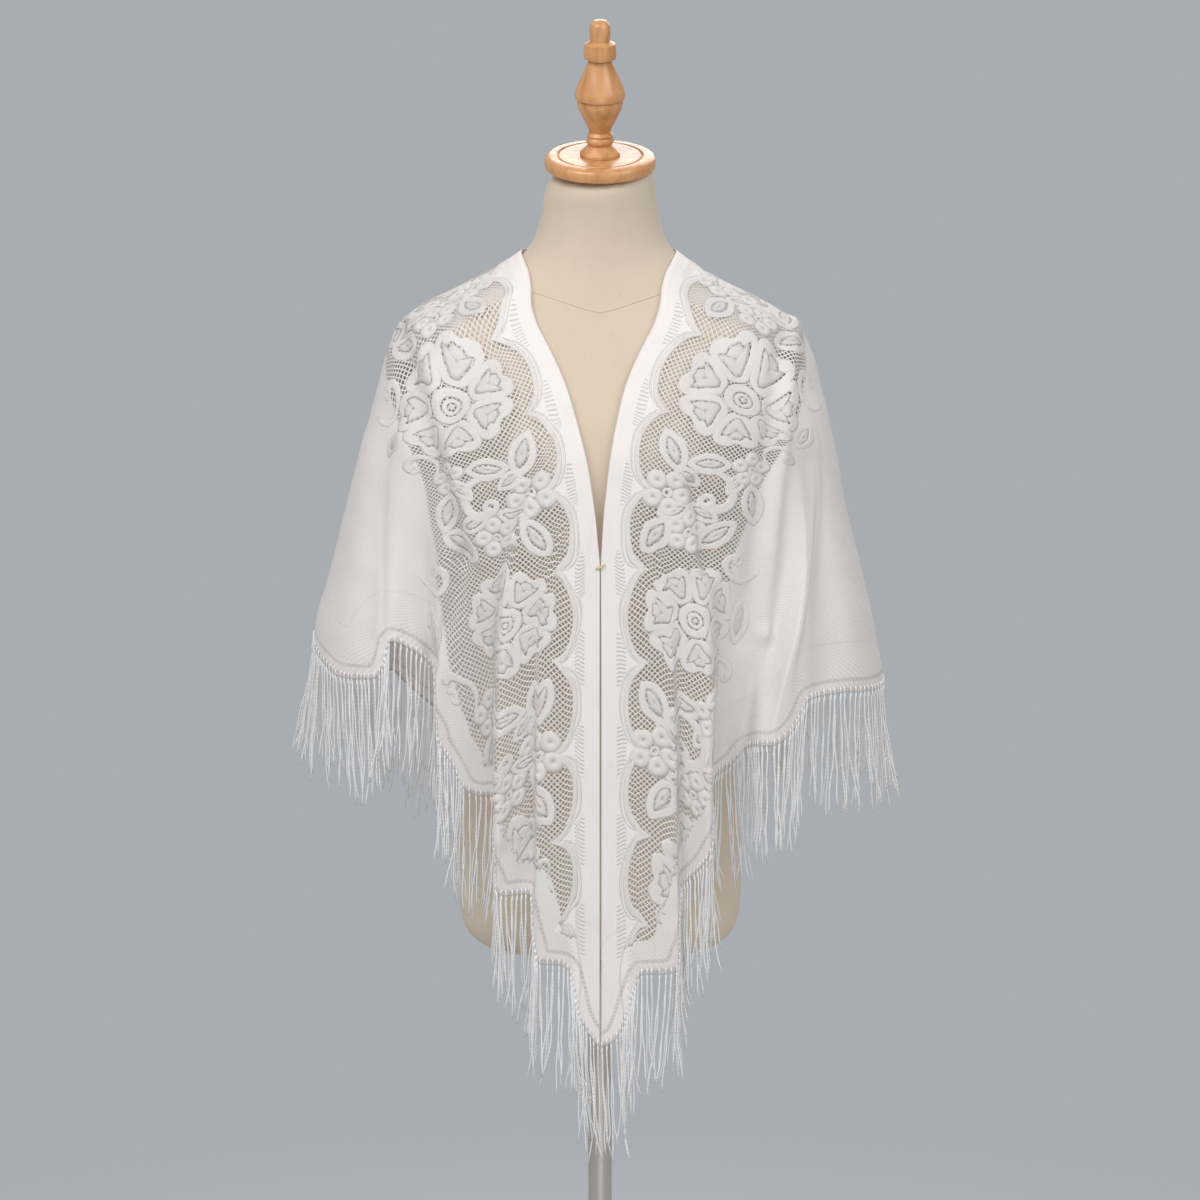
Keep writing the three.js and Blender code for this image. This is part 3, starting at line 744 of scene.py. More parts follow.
@dataclass(frozen=True)
class LaceYarn:
    """The off-white yarn: its colour, its shade in hollows and its two faint tints."""

    white: Colour = (0.82, 0.777, 0.755)
    shade: Colour = (0.61, 0.585, 0.57)
    pink: Colour = (0.79, 0.715, 0.705)
    green: Colour = (0.70, 0.735, 0.70)
    middle: Colour = (0.79, 0.735, 0.715)
    strand: Colour = (0.84, 0.84, 0.85)
    threads: float = 620
    sheen: float = 0.2

    def tinted(
        self, surface: Surface, tone: Field, first: Colour | bpy.types.NodeSocket
    ) -> bpy.types.NodeSocket:
        """Lays the faint tints over a colour.

        Args:
            surface: the material.
            tone: the noise that spreads them.
            first: the colour below.

        Returns:
            The tinted colour.
        """
        pinkish = surface.mix(tone.ramp(0.52, 0.72) * 0.5, first, self.pink)
        return surface.mix(tone.ramp(0.46, 0.3) * 0.45, pinkish, self.green)

    def motif(self, kind: LaceKind) -> bpy.types.Material:
        """The knit of the raised motifs or of their sheer middles.

        Args:
            kind: which of them.

        Returns:
            The material.
        """
        sheer = kind is LaceKind.SHEER
        surface = Surface(kind.value, Roughness=0.75, Sheen_Weight=self.sheen)
        height, tone = surface.grain(surface.uv("flat"), self.threads)
        base = self.tinted(surface, tone, self.middle if sheer else self.white)
        surface.feed("Base Color", base)
        surface.feed("Alpha", light_passing(surface, 0.95 if sheer else 1.0, 0.55))
        surface.bump(height, 0.0006, 0.8)
        return surface.material

    def yarn(self) -> bpy.types.Material:
        """The twisted yarn of the fringe.

        Returns:
            The material.
        """
        surface = Surface("fringe_yarn", Roughness=0.65, Sheen_Weight=self.sheen)
        turn, along, _ = surface.parts(surface.uv("flat"))
        twist = ((along * STRAND_TWIST + turn * (2 * math.pi)).apply("SINE") * 0.5) + 0.5
        tone = surface.noise(surface.uv("flat"), 12, 3)
        # Painted shade darkens the grooves of the twist
        base = surface.mix(twist * 0.2, self.strand, self.shade)
        surface.feed("Base Color", self.tinted(surface, tone, base))
        surface.feed("Alpha", light_passing(surface, 1.0, 0.7))
        surface.bump(twist, 0.0003, 0.6)
        return surface.material

    def cloth(self, phase: float, upper: float) -> bpy.types.Material:
        """The knitted ground: border, dash stitches, scallop line, open net, plain knit and hem edging.

        Args:
            phase: the share of a repeat between the middle of the back and the nearest flower.
            upper: how many repeats the upper front flower is from there.

        Returns:
            The material, which reads the flat pattern and the distance to the hem.
        """
        surface = Surface("lace_ground", Roughness=0.75, Sheen_Weight=self.sheen)
        flat = surface.uv("flat")
        along, inward, _ = surface.parts(flat)
        hem_along, hem_away, _ = surface.parts(surface.uv("hem"))
        repeats = along.apply("ABSOLUTE") * (1 / REPEAT) - phase
        # The scallop line bulges towards the long edge
        scallop = (repeats * SCALLOPS_PER_REPEAT + 0.5).apply("FRACT")
        centred = scallop * 2.0 - 1.0
        arch = (centred * centred).inverted().apply("MAXIMUM", 0.0).apply("SQRT").inverted()
        past = inward - (arch * CUSP_DEPTH + BORDER)
        # The open net lies between the scallops and the plain knit, clear of the hem
        swing = ((repeats - (upper - phase)) * math.pi).apply("COSINE") * BAND_SWING - BAND_SWING
        outer = (inward - swing * along.ramp(-0.02, 0.02)).ramp(BAND + 0.004, BAND)
        net = past.ramp(OUTLINE - 0.0006, OUTLINE) * outer * hem_away.ramp(NET_HEM, NET_HEM + 0.002)
        cell = 1 / NET_CELL
        first = ((along + inward) * cell).apply("FRACT") - 0.5
        second = ((along - inward) * cell).apply("FRACT") - 0.5
        open_cell = first.apply("ABSOLUTE").ramp(*HOLE_EDGE) * second.apply("ABSOLUTE").ramp(*HOLE_EDGE)
        # Dash stitches fill the corners between two scallops and the border
        dash = (along * DASHES).apply("FRACT").within(0.32, 0.66, 0.1)
        corner = past.ramp(-0.0042, -0.0052) * centred.apply("ABSOLUTE").ramp(0.38, 0.46)
        dashes = dash * corner * inward.within(DASH_START, DASH_END, 0.0008) * hem_away.ramp(0.016, 0.018)
        # Pinholes run along the scallop line and inside the hem
        pin = (along * PINHOLES).apply("FRACT").within(0.32, 0.62, 0.1)
        pins = pin * past.within(OUTLINE * 0.83, OUTLINE * 0.95, 0.0004) * outer
        stitch = (hem_along * HEM_STITCHES).apply("FRACT").within(0.3, 0.7, 0.1)
        stitches = stitch * hem_away.within(*STITCH_LINE, 0.0004)
        # Grooves along the hem, the inner line and the scallop line: pressed in by the bump and darkened with
        # painted shade
        groove = hem_away.within(*HEM_GROOVE, 0.0012) + past.within(*SCALLOP_GROOVE, 0.0008)
        groove = groove + hem_away.within(*INNER_GROOVE, 0.0012) * 0.3
        holes = (net * open_cell).apply("MAXIMUM", dashes * 0.6)
        holes = holes.apply("MAXIMUM", pins * 0.7).apply("MAXIMUM", stitches * 0.5)
        height, tone = surface.grain(flat, self.threads)
        # A fine diagonal knit shows over the plain parts, in the bump and as painted shade between its
        # stitches
        fine = 2 * math.pi / KNIT_CELL
        knit = ((along + inward) * fine).apply("SINE") * ((along * 0.8 - inward) * fine).apply("SINE")
        knit = knit * 0.5 + 0.5
        ribs = (inward * RIBS).apply("SINE") * inward.ramp(BORDER, BORDER - 0.002)
        plain = past.ramp(OUTLINE, OUTLINE + 0.002)
        # Painted shade: the grooves and the hollows of the knit are mixed towards the yarn's shade colour
        painted_shade = groove * 0.7 + knit * plain * 0.8
        shaded = surface.mix(painted_shade.apply("MINIMUM", 1.0), self.white, self.shade)
        surface.feed("Base Color", self.tinted(surface, tone, shaded))
        solid = light_passing(surface, plain * -0.05 + 0.98, 0.68)
        surface.feed("Alpha", holes.inverted() * solid)
        surface.bump(height * 0.5 + knit * plain * 0.8 + ribs * 0.3 - groove * 1.4, 0.0004, 0.55)
        return surface.material


@dataclass(frozen=True)
class ThreadFinish:
    """Beige sewing thread."""

    light: Colour = (0.74, 0.60, 0.40)

    def material(self) -> bpy.types.Material:
        """The thread, with a twist.

        Returns:
            The material.
        """
        surface = Surface("sewing_thread", Roughness=0.7, Sheen_Weight=0.3)
        _, along, _ = surface.parts(surface.uv("flat"))
        twist = (along * 4000.0).apply("SINE") * 0.5 + 0.5
        # Painted shade darkens the grooves of the twist towards a deeper brown
        surface.feed("Base Color", surface.mix(twist * 0.5, self.light, (0.5, 0.38, 0.22)))
        surface.bump(twist, 0.0002, 0.6)
        return surface.material


def smooth_through(values: list[float]) -> Callable[[np.ndarray], np.ndarray]:
    """A smooth curve through evenly numbered values that never swings past them.

    Args:
        values: the values.

    Returns:
        A function of the place, counted in values.
    """
    heights = np.array(values, float)
    rise = np.diff(heights)
    before = np.concatenate([rise[:1], rise])
    after = np.concatenate([rise, rise[-1:]])
    product = before * after
    total = np.where(product > 0, before + after, 1.0)
    slope = np.where(product > 0, 2 * product / total, 0.0)

    def curve(place: np.ndarray) -> np.ndarray:
        """The curve's value at a place.

        Args:
            place: the place, counted in values.

        Returns:
            The value.
        """
        i = np.clip(np.floor(place).astype(int), 0, len(heights) - 2)
        t = np.clip(place - i, 0, 1)
        start = t * (1 - t) ** 2
        end = t * t * (t - 1)
        return heights[i] + rise[i] * t * t * (3 - 2 * t) + slope[i] * start + slope[i + 1] * end

    return curve


def smoothstep(value: np.ndarray, low: float, high: float) -> np.ndarray:
    """The smooth rise from 0 at low to 1 at high."""
    t = np.clip((value - low) / (high - low), 0, 1)
    return t * t * (3 - 2 * t)


def unit(vectors: np.ndarray) -> np.ndarray:
    """Vectors made one long."""
    return vectors / np.maximum(np.linalg.norm(vectors, axis=-1, keepdims=True), 1e-9)


class Drape:
    """The shawl as one hanging surface, by line round the body and drop from the long edge to the hem."""

    def __init__(self) -> None:
        """Joins the left and right tables into curves."""
        whole = 2 * (len(LONG_EDGE) - 1)
        mirrored = [
            row._replace(edge=whole - row.edge, mid=FULL_TURN - row.mid, hem=FULL_TURN - row.hem)
            for row in reversed(RIGHT_FOLDS[:-1])
        ]
        rows = LEFT_FOLDS + mirrored
        self.last_line = len(rows) - 1
        self.left_side = [row.hem for row in LEFT_FOLDS].index(SIDE_HEM_DEGREES)
        self.right_side = self.last_line - [row.hem for row in RIGHT_FOLDS].index(SIDE_HEM_DEGREES)
        self.folds = {name: smooth_through([getattr(row, name) for row in rows]) for name in Fold._fields}
        self.levels = {name: smooth_through([getattr(row, name) for row in LEVELS]) for name in Level._fields}
        mirror = list(reversed(LONG_EDGE[:-1]))
        self.edge_z = smooth_through([row.z for row in LONG_EDGE + mirror])
        degrees = [row.left for row in LONG_EDGE] + [FULL_TURN - row.right for row in mirror]
        self.edge_at = smooth_through(degrees)

    @staticmethod
    def evened(curve: Callable[[np.ndarray], np.ndarray], place: np.ndarray) -> np.ndarray:
        """A curve along the long edge, averaged with its neighbourhood so that it runs smoothly.

        Args:
            curve: the curve.
            place: places on the long edge.

        Returns:
            The averaged values, unchanged at both tips.
        """
        reach = np.minimum(EDGE_REACH, np.minimum(place, 2 * (len(LONG_EDGE) - 1) - place))
        return np.mean([curve(place + reach * share) for share in np.linspace(-1, 1, 9)], axis=0)

    def foot(self, line: np.ndarray) -> np.ndarray:
        """The hem's height, with round scallops at the back.

        Args:
            line: rows of the tables, round the body.

        Returns:
            The heights, in millimetres.
        """
        from_side = np.minimum(line - self.left_side, self.right_side - line)
        scallop = np.where(from_side > 0, SCALLOP_DEPTH * np.abs(np.sin(math.pi * from_side / 2)), 0)
        return self.folds["foot"](line) - scallop

    def points(self, line: np.ndarray, drop: np.ndarray) -> np.ndarray:
        """Points of the hanging cloth.

        Args:
            line: rows of the tables, round the body.
            drop: 0 at the long edge to 1 at the hem.

        Returns:
            The points, in metres.
        """
        place = self.folds["edge"](line)
        edge_z = self.evened(self.edge_z, place)
        start = self.evened(self.edge_at, place)
        hem_at = self.folds["hem"](line)
        z = edge_z + (self.foot(line) - edge_z) * drop
        round_by = np.minimum(hem_at, FULL_TURN - hem_at)
        front = TIP_HEIGHT + round_by / FRONT_DEGREES * (SIDE_HEIGHT - TIP_HEIGHT)
        back = SIDE_HEIGHT - np.maximum(round_by - BACK_DEGREES, 0) * BACK_FALL
        even = np.where(round_by < FRONT_DEGREES, front, back)
        share = (edge_z - z) / (edge_z - even)
        upper = np.sin(np.clip(share / MID_DROP, 0, 1) * math.pi / 2)
        lower = smoothstep(share, MID_DROP, 1)
        middle = self.folds["mid"](line)
        degrees = start + (middle - start) * upper + (hem_at - middle) * lower
        out = self.folds["out"](line) * smoothstep(share, FOLD_START, 1)
        return self.placed(degrees, z, out) * MM

    def placed(self, degrees: np.ndarray, z: np.ndarray, out: np.ndarray) -> np.ndarray:
        """Points by their place round the body.

        Args:
            degrees: degrees round it from the front.
            z: their heights, in millimetres.
            out: how far they reach past the level's oval, in millimetres.

        Returns:
            The points, in millimetres.
        """
        heights = [row.z for row in reversed(LEVELS)]
        level = np.interp(z, heights, list(range(len(LEVELS)))[::-1])
        angle = np.radians(degrees)
        half = np.where(degrees < 180, self.levels["left"](level), self.levels["right"](level))
        deep = np.where(np.cos(angle) > 0, self.levels["front"](level), self.levels["back"](level))
        outward = unit(np.stack([-np.sin(angle) / half, -np.cos(angle) / deep], -1))
        x = -half * np.sin(angle) + outward[..., 0] * out
        y = -deep * np.cos(angle) + outward[..., 1] * out
        return np.stack([x, y, z], -1)


def grid_normals(points: np.ndarray) -> np.ndarray:
    """Outward directions of a grid of points.

    Args:
        points: the grid.

    Returns:
        A direction for each point.
    """
    along = np.gradient(points, axis=0)
    fall = np.gradient(points, axis=1)
    return unit(np.cross(along, fall))


def creased(points: np.ndarray) -> np.ndarray:
    """Presses the soft creases and a slight unevenness into the cloth.

    Args:
        points: the grid of points, in metres.

    Returns:
        The creased grid.
    """
    normals = grid_normals(points)
    seen = points[..., [0, 2]] / MM
    front = points[..., 1] < 0
    lift = np.zeros(points.shape[:2])
    for creases, side in ((FRONT_CREASES, front), (BACK_CREASES, ~front)):
        for crease in creases:
            t = np.linspace(0, 1, CREASE_STEPS)[:, None]
            ends = np.array(crease[:6]).reshape(3, 2)
            route = ends[0] * (1 - t) ** 2 + 2 * ends[1] * t * (1 - t) + ends[2] * t * t
            away = np.linalg.norm(seen[:, :, None, :] - route, axis=-1).min(-1)
            lift += np.where(side, crease.depth * np.exp(-((away / crease.width) ** 2)), 0)
    x, z = seen[..., 0], seen[..., 1]
    a, b, c, d = BROAD_WAVES
    lift += BROAD_SWELL * np.sin(x / a + np.sin(z / b)) * np.sin(z / c + x / d)
    a, b, c = FINE_WAVES
    lift += FINE_SWELL * np.sin(x / a + z / b) * np.sin(z / c)
    held = smoothstep(np.linspace(0, 1, points.shape[1]), 0.0, EDGE_HELD)
    return points + normals * (lift * held)[..., None] * MM


def walk(points: np.ndarray, sources: np.ndarray, labels: np.ndarray) -> tuple[np.ndarray, np.ndarray]:
    """Shortest ways over the cloth from its source points.

    Args:
        points: the grid of points.
        sources: which grid points the ways start from.
        labels: a number for each source, which its ways carry along.

    Returns:
        The length of the way to each grid point, and the label that it carries.
    """
    away = np.where(sources, 0.0, FARTHEST)
    carried = labels.astype(float).copy()
    columns, rows = away.shape
    wide, tall = STEP_REACH
    steps = [
        (i, j) for i in range(-wide, wide + 1) for j in range(-tall, tall + 1) if math.gcd(i, j) == 1
    ]
    routes = []
    for i, j in steps:
        start = (slice(max(0, -i), columns - max(0, i)), slice(max(0, -j), rows - max(0, j)))
        end = (slice(max(0, i), columns - max(0, -i)), slice(max(0, j), rows - max(0, -j)))
        routes.append((start, end, np.linalg.norm(points[end] - points[start], axis=-1)))
    for _ in range(WALK_ROUNDS):
        before = away.copy()
        for start, end, length in routes:
            through = away[start] + length
            nearer = through < away[end]
            away[end] = np.where(nearer, through, away[end])
            carried[end] = np.where(nearer, carried[start], carried[end])
        if np.array_equal(before, away):
            break
    return away, carried


def blurred(points: np.ndarray, values: np.ndarray, fixed: np.ndarray, rounds: int) -> np.ndarray:
    """Evens out numbers over the cloth, apart from those that are fixed.

    Args:
        points: the grid of points.
        values: a number for each.
        fixed: which of them stay.
        rounds: how often neighbours are averaged.

    Returns:
        The smoother grid.
    """
    wide = np.linalg.norm(np.gradient(points, axis=0), axis=-1)
    tall = np.linalg.norm(np.gradient(points, axis=1), axis=-1)
    ratio = np.clip(tall / np.maximum(wide, 1e-6), 0.1, 10)
    across, down = ratio, 1 / ratio
    for _ in range(rounds):
        padded = np.pad(values, 1, mode="edge")
        beside = padded[:-2, 1:-1] + padded[2:, 1:-1]
        above = padded[1:-1, :-2] + padded[1:-1, 2:]
        mean = (across * beside + down * above) / (2 * across + 2 * down)
        values = np.where(fixed, values, (1 - EVEN_SHARE) * values + EVEN_SHARE * mean)
    return values


def lengths_along(points: np.ndarray) -> np.ndarray:
    """How far along a row of points each lies."""
    return np.concatenate([[0], np.cumsum(np.linalg.norm(np.diff(points, axis=0), axis=-1))])


def new_mesh(name: str, points: np.ndarray, faces: list, maps: dict[str, np.ndarray]) -> bpy.types.Object:
    """A mesh object with UV maps.

    Args:
        name: the piece's name.
        points: its points, in metres.
        faces: its faces, by point number.
        maps: a pair of numbers for each point, by the UV map's name.

    Returns:
        The object.
    """
    mesh = bpy.data.meshes.new(name)
    mesh.from_pydata([tuple(p) for p in points], [], faces)
    corners = np.empty(len(mesh.loops), int)
    mesh.loops.foreach_get("vertex_index", corners)
    for label, pairs in maps.items():
        layer = mesh.uv_layers.new(name=label)
        layer.data.foreach_set("uv", np.asarray(pairs, float)[corners].ravel())
    mesh.polygons.foreach_set("use_smooth", [True] * len(mesh.polygons))
    mesh.update()
    piece = bpy.data.objects.new(name, mesh)
    bpy.context.collection.objects.link(piece)
    return piece


def finish_piece(piece: bpy.types.Object, material: bpy.types.Material, slot: str, *nodes: str) -> None:
    """Dresses a piece, seats it on the body and hides the CAD nodes that it replaces.

    Args:
        piece: the piece.
        material: its material.
        slot: the record's material slot; not used.
        nodes: the CAD nodes that it replaces.
    """
    piece.data.materials.clear()
    piece.data.materials.append(material)
    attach(piece, BODY)
    if nodes:
        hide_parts(*nodes)
    LOG.info("%s: %d faces", piece.name, len(piece.data.polygons))


def thicken(piece: bpy.types.Object, thickness: float) -> None:
    """Gives a sheet its thickness.

    Args:
        piece: the sheet.
        thickness: its thickness, in metres.
    """
    shell = piece.modifiers.new("thickness", "SOLIDIFY")
    shell.thickness = thickness
    shell.offset = 0
    apply_modifiers(piece)


def apply_modifiers(piece: bpy.types.Object) -> None:
    """Applies all the modifiers of a piece.

    Args:
        piece: the piece.
    """
    bpy.ops.object.select_all(action="DESELECT")
    bpy.context.view_layer.objects.active = piece
    piece.select_set(True)
    for modifier in list(piece.modifiers):
        bpy.ops.object.modifier_apply(modifier=modifier.name)
    piece.select_set(False)


def edit(piece: bpy.types.Object, *operators: Callable[[], object]) -> None:
    """Runs mesh operators on all of a piece in edit mode.

    Args:
        piece: the piece.
        operators: what to run, in order.
    """
    bpy.ops.object.select_all(action="DESELECT")
    bpy.context.view_layer.objects.active = piece
    piece.select_set(True)
    bpy.ops.object.mode_set(mode="EDIT")
    bpy.ops.mesh.select_all(action="SELECT")
    for operator in operators:
        operator()
    bpy.ops.object.mode_set(mode="OBJECT")
    piece.select_set(False)


@dataclass
class Cloth:
    """The shawl's cloth, with the flat pattern that its lace is drawn in."""

    flat_length: float = 1.85
    flat_depth: float = 0.62
    drape: Drape = field(default_factory=Drape)

    def build(self) -> None:
        """Works out the hanging grid, its flat pattern and its distance to the hem."""
        lines = np.linspace(0, self.drape.last_line, self.drape.last_line * COLUMNS_PER_ROW + 1)
        drops = np.linspace(0, 1, DROP_ROWS + 1) ** DROP_BIAS
        self.lines = lines
        line, drop = np.meshgrid(lines, drops, indexing="ij")
        self.grid = creased(self.drape.points(line, drop))
        self.normals = grid_normals(self.grid)
        self.lay_flat()
        self.measure_hem()
        self.index_flat()

    def lay_flat(self) -> None:
        """Gives each point its place along the long edge and its distance in from it."""
        columns, rows = self.grid.shape[:2]
        sources = np.zeros((columns, rows), bool)
        sources[0], sources[-1], sources[:, 0] = True, True, True
        inward, _ = walk(self.grid, sources, np.zeros((columns, rows)))
        # Round the neck the pattern keeps its width a little way into the cloth
        ring = np.array([self.at_inward(inward[i], self.grid[i], FLOWER_INWARD) for i in range(columns)])
        edge = lengths_along(self.grid[:, 0])
        spread = lengths_along(ring)
        place = self.drape.folds["edge"](self.lines)
        weight = smoothstep(np.minimum(place, 2 * (len(LONG_EDGE) - 1) - place), *NECK_PLACES)
        wider = np.sqrt(np.maximum(np.diff(spread), np.diff(edge)) * np.diff(edge))
        step = np.diff(edge) * (1 - weight[1:]) + wider * weight[1:]
        top = np.concatenate([[0], np.cumsum(step)])
        left = lengths_along(self.grid[0][::-1])[::-1]
        right = lengths_along(self.grid[-1])
        labels = np.zeros((columns, rows))
        labels[:, 0] = left[0] + top
        labels[0] = left
        labels[-1] = left[0] + top[-1] + right
        _, along = walk(self.grid, sources, labels)
        along = blurred(self.grid, along, sources, ALONG_ROUNDS)
        middle = labels[-1, -1] / 2
        seen = np.hypot(self.grid[..., 0] - FLOWER_X, self.grid[..., 2] - FLOWER_Z) + (self.grid[..., 1] > 0)
        flower = along.ravel()[np.argmin(seen)]
        self.upper = float(middle - flower) / REPEAT
        self.phase = self.upper % 1
        self.half = middle
        self.along = along - middle
        self.inward = inward
        LOG.info("lace pattern %.3f m long, upper flowers %.2f repeats out", 2 * middle, self.upper)

    @staticmethod
    def at_inward(inward: np.ndarray, points: np.ndarray, distance: float) -> np.ndarray:
        """The point of one hanging line that lies a distance in from the long edge."""
        i = int(np.argmax(inward >= distance))
        return points[i]

    def measure_hem(self) -> None:
        """Gives each point its distance to the hem and the place on the hem that it is nearest."""
        sources = np.zeros(self.grid.shape[:2], bool)
        sources[:, -1] = True
        labels = np.zeros(self.grid.shape[:2])
        labels[:, -1] = lengths_along(self.grid[:, -1])
        self.hem_away, hem_along = walk(self.grid, sources, labels)
        self.hem_along = blurred(self.grid, hem_along, sources, HEM_ROUNDS)

    def index_flat(self) -> None:
        """Indexes the flat pattern, so that a point drawn in it can be found on the hanging cloth."""
        columns, rows = self.grid.shape[:2]
        number = np.arange(columns * rows).reshape(columns, rows)
        a, b = number[:-1, :-1].ravel(), number[1:, :-1].ravel()
        c, d = number[1:, 1:].ravel(), number[:-1, 1:].ravel()
        self.quads = np.stack([a, b, c, d], -1).tolist()
        self.corners = np.concatenate([np.stack([a, b, c], -1), np.stack([a, c, d], -1)]).tolist()
        flat = np.stack([self.along.ravel(), self.inward.ravel(), np.zeros(columns * rows)], -1)
        self.flat = [Vector(p) for p in flat]
        self.places = [Vector(p) for p in self.grid.reshape(-1, 3)]
        self.facings = [Vector(p) for p in self.normals.reshape(-1, 3)]
        self.hems = [Vector((h, 0, 0)) for h in self.hem_away.ravel()]
        self.search = BVHTree.FromPolygons(self.flat, self.corners)

    def find(self, along: float, inward: float, lift: float) -> Vector | None:
        """The place on the hanging cloth of a point of the flat pattern.

        Args:
            along: metres along the long edge.
            inward: metres in from it.
            lift: metres out of the cloth.

        Returns:
            The place, or None beyond the cloth or close to its hem.
        """
        hit, _, face, _ = self.search.ray_cast(Vector((along, inward, 1)), Vector((0, 0, -1)))
        if hit is None:
            return None
        corners = self.corners[face]
        from_flat = [self.flat[i] for i in corners]
        if barycentric_transform(hit, *from_flat, *[self.hems[i] for i in corners]).x < MOTIF_HEM:
            return None
        place = barycentric_transform(hit, *from_flat, *[self.places[i] for i in corners])
        facing = barycentric_transform(hit, *from_flat, *[self.facings[i] for i in corners])
        return place + facing * lift

    def make(self, yarn: LaceYarn) -> bpy.types.Object:
        """Makes the cloth's shell.

        Args:
            yarn: its yarn.

        Returns:
            The piece.
        """
        maps = {
            "flat": np.stack([self.along.ravel(), self.inward.ravel()], -1),
            "hem": np.stack([self.hem_along.ravel(), self.hem_away.ravel()], -1),
        }
        piece = new_mesh("shawl_cloth", self.grid.reshape(-1, 3), self.quads, maps)
        thicken(piece, SHELL)
        nodes = ("shawl_left_front", "shawl_back", "shawl_right_front")
        finish_piece(piece, yarn.cloth(self.phase, self.upper), "lace", *nodes)
        return piece


class MotifKind(Enum):
    """The motifs of the lace band."""

    FLOWER = "flower"
    LEAF = "leaf"
    SCROLL = "scroll"
    BUD = "bud"


class Motif(NamedTuple):
    """A motif in one repeat: its place from the flower, its distance in, its length and its turn."""

    kind: MotifKind
    along: float
    inward: float
    size: float
    degrees: float


LAYOUT = [
    Motif(MotifKind.FLOWER, 0.000, 0.112, 0.065, 8),
    Motif(MotifKind.LEAF, 0.083, 0.060, 0.052, 28),
    Motif(MotifKind.BUD, 0.130, 0.060, 0.044, 10),
    Motif(MotifKind.LEAF, -0.083, 0.060, 0.052, 152),
    Motif(MotifKind.LEAF, 0.090, 0.098, 0.048, 100),
    Motif(MotifKind.SCROLL, 0.128, 0.106, 0.062, 320),
    Motif(MotifKind.BUD, -0.091, 0.100, 0.040, 25),
    Motif(MotifKind.BUD, 0.088, 0.143, 0.038, 40),
    Motif(MotifKind.LEAF, 0.130, 0.152, 0.054, 15),
    Motif(MotifKind.LEAF, -0.088, 0.142, 0.054, 136),
    Motif(MotifKind.SCROLL, 0.058, 0.176, 0.044, 60),
    Motif(MotifKind.SCROLL, -0.056, 0.176, 0.044, 170),
    Motif(MotifKind.LEAF, 0.002, 0.190, 0.046, 175),
    Motif(MotifKind.LEAF, 0.108, 0.078, 0.034, 60),
    Motif(MotifKind.LEAF, -0.112, 0.080, 0.036, 110),
    Motif(MotifKind.LEAF, 0.108, 0.128, 0.034, 150),
    Motif(MotifKind.LEAF, -0.113, 0.120, 0.038, 64),
]


MIDDLE_LAYOUT = [
    Motif(MotifKind.BUD, 0.0, 0.058, 0.042, 18),
    Motif(MotifKind.LEAF, 0.0, 0.158, 0.050, 90),
]
BESIDE_MIDDLE = [
    Motif(MotifKind.LEAF, 0.032, 0.056, 0.032, 20),
    Motif(MotifKind.LEAF, 0.030, 0.180, 0.044, 152),
]


class PetalPoint(NamedTuple):
    """A point of half a petal's outline, as shares of its length and width."""

    along: float
    across: float


PETAL_RIM = [
    PetalPoint(0.0, 0.0),
    PetalPoint(0.0, 0.2),
    PetalPoint(0.28, 0.34),
    PetalPoint(0.56, 0.47),
    PetalPoint(0.82, 0.5),
    PetalPoint(0.96, 0.42),
    PetalPoint(1.0, 0.26),
    PetalPoint(0.96, 0.12),
    PetalPoint(0.84, 0.0),
]
PETAL_MIDDLE = [
    PetalPoint(0.12, 0.0),
    PetalPoint(0.14, 0.07),
    PetalPoint(0.3, 0.15),
    PetalPoint(0.5, 0.27),
    PetalPoint(0.74, 0.33),
    PetalPoint(0.6, 0.17),
    PetalPoint(0.78, 0.1),
    PetalPoint(0.72, 0.0),
]
CLEAR_OF_MIDDLE = {MotifKind.FLOWER: 1.0, MotifKind.LEAF: 0.5, MotifKind.SCROLL: 0.6, MotifKind.BUD: 0.6}
PETALS = 7
LOW_LIFT = 0.00045
HIGH_LIFT = 0.0006


def loop_from(half: list[PetalPoint], length: float, width: float) -> list[tuple[float, float]]:
    """A closed outline from half of one.

    Args:
        half: the points from base to tip on one side.
        length: its length.
        width: its width.

    Returns:
        The outline, rounded at its corners.
    """
    side = [(p.along * length, p.across * width) for p in half]
    loop = side + [(u, -v) for u, v in reversed(side[1:-1])]
    for _ in range(2):
        nexts = loop[1:] + loop[:1]
        cut = [
            ((u * 3 + s) / 4, (v * 3 + t) / 4, (u + s * 3) / 4, (v + t * 3) / 4)
            for (u, v), (s, t) in zip(loop, nexts)
        ]
        loop = [pair for row in cut for pair in ((row[0], row[1]), (row[2], row[3]))]
    return loop


def evenly(loop: list[tuple[float, float]], count: int) -> np.ndarray:
    """A closed outline as evenly spaced points.

    Args:
        loop: the outline.
        count: how many points it gets.

    Returns:
        The points, from the same start.
    """
    closed = np.array(loop + loop[:1])
    reach = lengths_along(closed)
    at = np.linspace(0, reach[-1], count, endpoint=False)
    return np.stack([np.interp(at, reach, closed[:, k]) for k in (0, 1)], -1)


